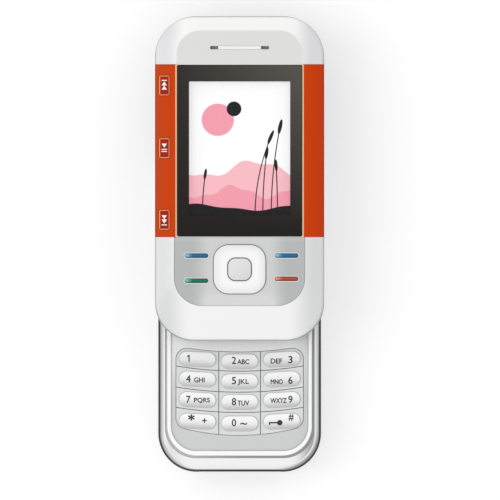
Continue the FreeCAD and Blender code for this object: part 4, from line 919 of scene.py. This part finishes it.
# %% Words and signs
tall, small = 2.05, 1.4
legends = {
    "key_1": (),
    "key_2": (("2", -1.62, -33.1, 1.2, tall), ("ABC", 1.05, -33.5, 3.4, small)),
    "key_3": (("DEF", 10.5, -33.3, 3.25, small), ("3", 14.5, -32.9, 1.2, tall)),
    "key_4": (("4", -14.65, -38.35, 1.3, tall), ("GHI", -11.5, -38.7, 3.0, small)),
    "key_5": (("5", -1.62, -38.9, 1.2, tall), ("JKL", 1.05, -39.35, 3.2, 1.75)),
    "key_6": (("MNO", 10.6, -39.2, 3.45, small), ("6", 14.5, -38.8, 1.2, tall)),
    "key_7": (("7", -14.65, -44.25, 1.2, tall), ("PQRS", -10.75, -44.56, 4.5, 1.55)),
    "key_8": (("8", -1.62, -44.9, 1.2, tall), ("TUV", 1.05, -45.3, 3.3, small)),
    "key_9": (("WXYZ", 11.1, -44.6, 4.6, small), ("9", 14.5, -44.25, 1.2, tall)),
    "key_star": (("*", -13.8, -49.4, 1.8, 1.8), ("+", -10.05, -50.3, 1.35, 1.35)),
    "key_0": (("0", -1.62, -50.9, 1.2, tall), ("~", 1.15, -51.2, 1.9, 0.6)),
    "key_hash": (("#", 14.7, -49.4, 1.45, 2.0),),
}


def padlock_key(centre, length):
    """The lock symbol: a disc with a shaft and one tooth, as flat polygons."""
    turn = np.linspace(0, 2 * math.pi, 29)[:-1]
    radius = length * 0.2
    disc_x = centre[0] + length / 2 - radius + radius * np.cos(turn)
    disc = np.stack([disc_x, centre[1] + radius * np.sin(turn)], 1)
    x0, x1 = centre[0] - length / 2, centre[0] + length / 2 - 1.6 * radius
    half, drop, wide, root = 0.2, 0.62, 0.42, 0.15
    shaft = np.array([(x0, -half), (x1, -half), (x1, half), (x0, half)]) + (0, centre[1])
    tooth = np.array([(x0, -drop), (x0 + wide, -drop), (x0 + wide, -root), (x0, -root)]) + (0, centre[1])
    points = np.concatenate([disc, shaft, tooth])
    mesh = bpy.data.meshes.new("lock_symbol")
    faces = [tuple(range(28)), (28, 29, 30, 31), (32, 33, 34, 35)]
    mesh.from_pydata(np.column_stack([points, np.zeros(len(points))]).tolist(), [], faces)
    return mesh


def numeral_one(centre, width, height):
    """A bare 1 with a flag: seven points in a unit box, moved and stretched."""
    outline = np.array([(0.5, 0.0), (0.95, 0.0), (0.95, 1.0), (0.6, 1.0),
                        (0.0, 0.78), (0.0, 0.6), (0.5, 0.74)])
    points = (outline - 0.5) * (width, height) + centre
    mesh = bpy.data.meshes.new("numeral_one")
    mesh.from_pydata(np.column_stack([points, np.zeros(len(points))]).tolist(), [], [tuple(range(7))])
    return mesh


print(sum(len(words) for words in legends.values()), "words and 2 drawn signs")

# %% [markdown]
# All the print of one key becomes one piece that rides with the key, so it moves when the
# key is pressed. The star is drawn bolder than the rest, as on the real keys.

# %% Print the keys
star_weight = 2.2
for name, words in legends.items():
    meshes = []
    for text, x, y, width, height in words:
        shift = bold_shift * (star_weight if text == "*" else 1.0)
        word = fitted(letters(text), (x, y), width - shift, height - shift)
        meshes += bolder(sliced(word), shift)
    if name == "key_1":
        meshes.append(sliced(numeral_one((-14.6, -32.5), 0.75, tall)))
    if name == "key_hash":
        meshes.append(sliced(padlock_key((10.3, -50.9), 3.9)))
    meshes = [settle(mesh, crown_height(name)) for mesh in meshes]
    joined(name + "_legend", meshes, ink, name + "_body")
print(len(legends), "keys printed")

# %% [markdown]
# The media keys lie on the sloping band, so their white icons are laid out flat first and
# then turned onto the slope: x runs across it, y along the phone, and the lift is along its
# normal. The font has no such signs, and triangles and bars are all that they need.

# %% Media icons
band_inner_x, band_outer_x, band_top, band_drop = 18.356, 24.1, 20.4, 1.4
slope_angle = math.atan2(band_drop, band_outer_x - band_inner_x)
slope_height = band_top - (-media_key_x - band_inner_x) * math.tan(slope_angle)
key_stand, print_thickness = 0.22, 0.015
icon_lift = key_stand + print_thickness
icon_white = lacquer("icon_white", paint(250, 244, 238), rough=0.35)


def icon_mesh(shapes, centre_y):
    """Flat polygons (lists of points) turned onto the left slope about the key's middle."""
    points = np.concatenate([np.array(shape) for shape in shapes])
    c, s = math.cos(slope_angle), math.sin(slope_angle)
    placed = np.column_stack([media_key_x + points[:, 0] * c - icon_lift * s,
                              centre_y + points[:, 1],
                              slope_height + points[:, 0] * s + icon_lift * c]) * MM
    faces, start = [], 0
    for shape in shapes:
        faces.append(tuple(range(start, start + len(shape))))
        start += len(shape)
    mesh = bpy.data.meshes.new("icon")
    mesh.from_pydata(placed.tolist(), [], faces)
    return mesh


def arrow(y, way):
    """A triangle about 1.6 wide and 1.2 tall round y, pointing along the phone or back."""
    return [(-0.78, y - 0.55 * way), (0.78, y - 0.55 * way), (0.0, y + 0.6 * way)][::way]


def bar(y):
    """A bar across the key, 1.6 wide and 0.26 tall, with its middle at y."""
    return [(-0.8, y - 0.13), (0.8, y - 0.13), (0.8, y + 0.13), (-0.8, y + 0.13)]


icons = {
    "previous_key": [bar(1.45), arrow(0.55, 1), arrow(-0.65, 1)],
    "play_key": [arrow(0.75, -1), bar(-0.35), bar(-0.95)],
    "next_key": [arrow(0.75, -1), arrow(-0.45, -1), bar(-1.45)],
}
for name, shapes in icons.items():
    joined(name + "_icon", [icon_mesh(shapes, media_key_y[name])], icon_white, name + "_body")
print("slope", round(math.degrees(slope_angle), 1), "degrees,", len(icons), "icons")

# %% [markdown]
# The floor is plain and pale. A floor lit like the phone would come out grey, and more
# light would bleach the phone. So for the camera, and in reflections and glass, it also
# glows a little: unshaded parts reach white and the shadow stays. It lies a hair below the
# phone so that the two never share a plane.

# %% Floor
floor_z, floor_reach, floor_glow = -0.05 * MM, 3.0, 0.44
corners = [(x * floor_reach, y * floor_reach, floor_z) for x, y in ((-1, -1), (1, -1), (1, 1), (-1, 1))]
floor_mesh = bpy.data.meshes.new("floor")
floor_mesh.from_pydata(corners, [], [(0, 1, 2, 3)])
floor = bpy.data.objects.new("floor", floor_mesh)
bpy.context.scene.collection.objects.link(floor)
floor_finish = Finish("floor_white", 0.9, 0.0, 0.0, 0.0)
path = floor_finish.node("LightPath")
camera_ray, glossy_ray, transmission_ray = (
    Value(floor_finish, path.socket.node.outputs[kind])
    for kind in ("Is Camera Ray", "Is Glossy Ray", "Is Transmission Ray"))
seen = camera_ray.most(glossy_ray).most(transmission_ray)
floor_tone = floor_finish.mix(floor_finish.mottle(0.002) * 0.02, paint(206, 206, 206), paint(200, 200, 200))
floor_finish.to("Base Color", floor_tone)
glow = (floor_glow, floor_glow, floor_glow, 1.0)
floor_finish.to("Emission Color", floor_finish.mix(seen, (0.0, 0.0, 0.0, 1.0), glow))
floor_finish.shader.inputs["Emission Strength"].default_value = 1.0
floor_mesh.materials.append(floor_finish.material)
print("floor", 2 * floor_reach, "m wide")

# %% [markdown]
# Light: an even pale sky does most of the work, and one large soft lamp on the left gives
# the bevels a lit and a shaded side. Several lamps could light it as in a studio, but each
# adds a shadow and a mirror image. This one stands level with the phone's middle, because
# from behind the raised front half it would shade the keypad, and low enough that the flat
# faces don't mirror it into the camera.

# %% Lights
sky_strength = 0.84
world = bpy.data.worlds.new("pale_sky")
world.use_nodes = True
sky = world.node_tree.nodes["Background"]
sky.inputs["Color"].default_value = (1.0, 1.0, 1.0, 1.0)
sky.inputs["Strength"].default_value = sky_strength
bpy.context.scene.world = world


def soft_lamp(name, place, size, watts):
    """A square lamp that faces the phone's middle."""
    data = bpy.data.lights.new(name, "AREA")
    data.shape, data.size, data.energy = "SQUARE", size, watts
    lamp = bpy.data.objects.new(name, data)
    lamp.location = place
    lamp.rotation_euler = (-Vector(place)).to_track_quat("-Z", "Y").to_euler()
    bpy.context.scene.collection.objects.link(lamp)
    return lamp


left_lamp = soft_lamp("left_lamp", (-1.1, 0.1, 1.1), 1.1, 5.5)
bpy.context.scene.view_settings.view_transform = "Standard"
print("sky", sky_strength, "and a lamp of", left_lamp.data.energy, "watts")
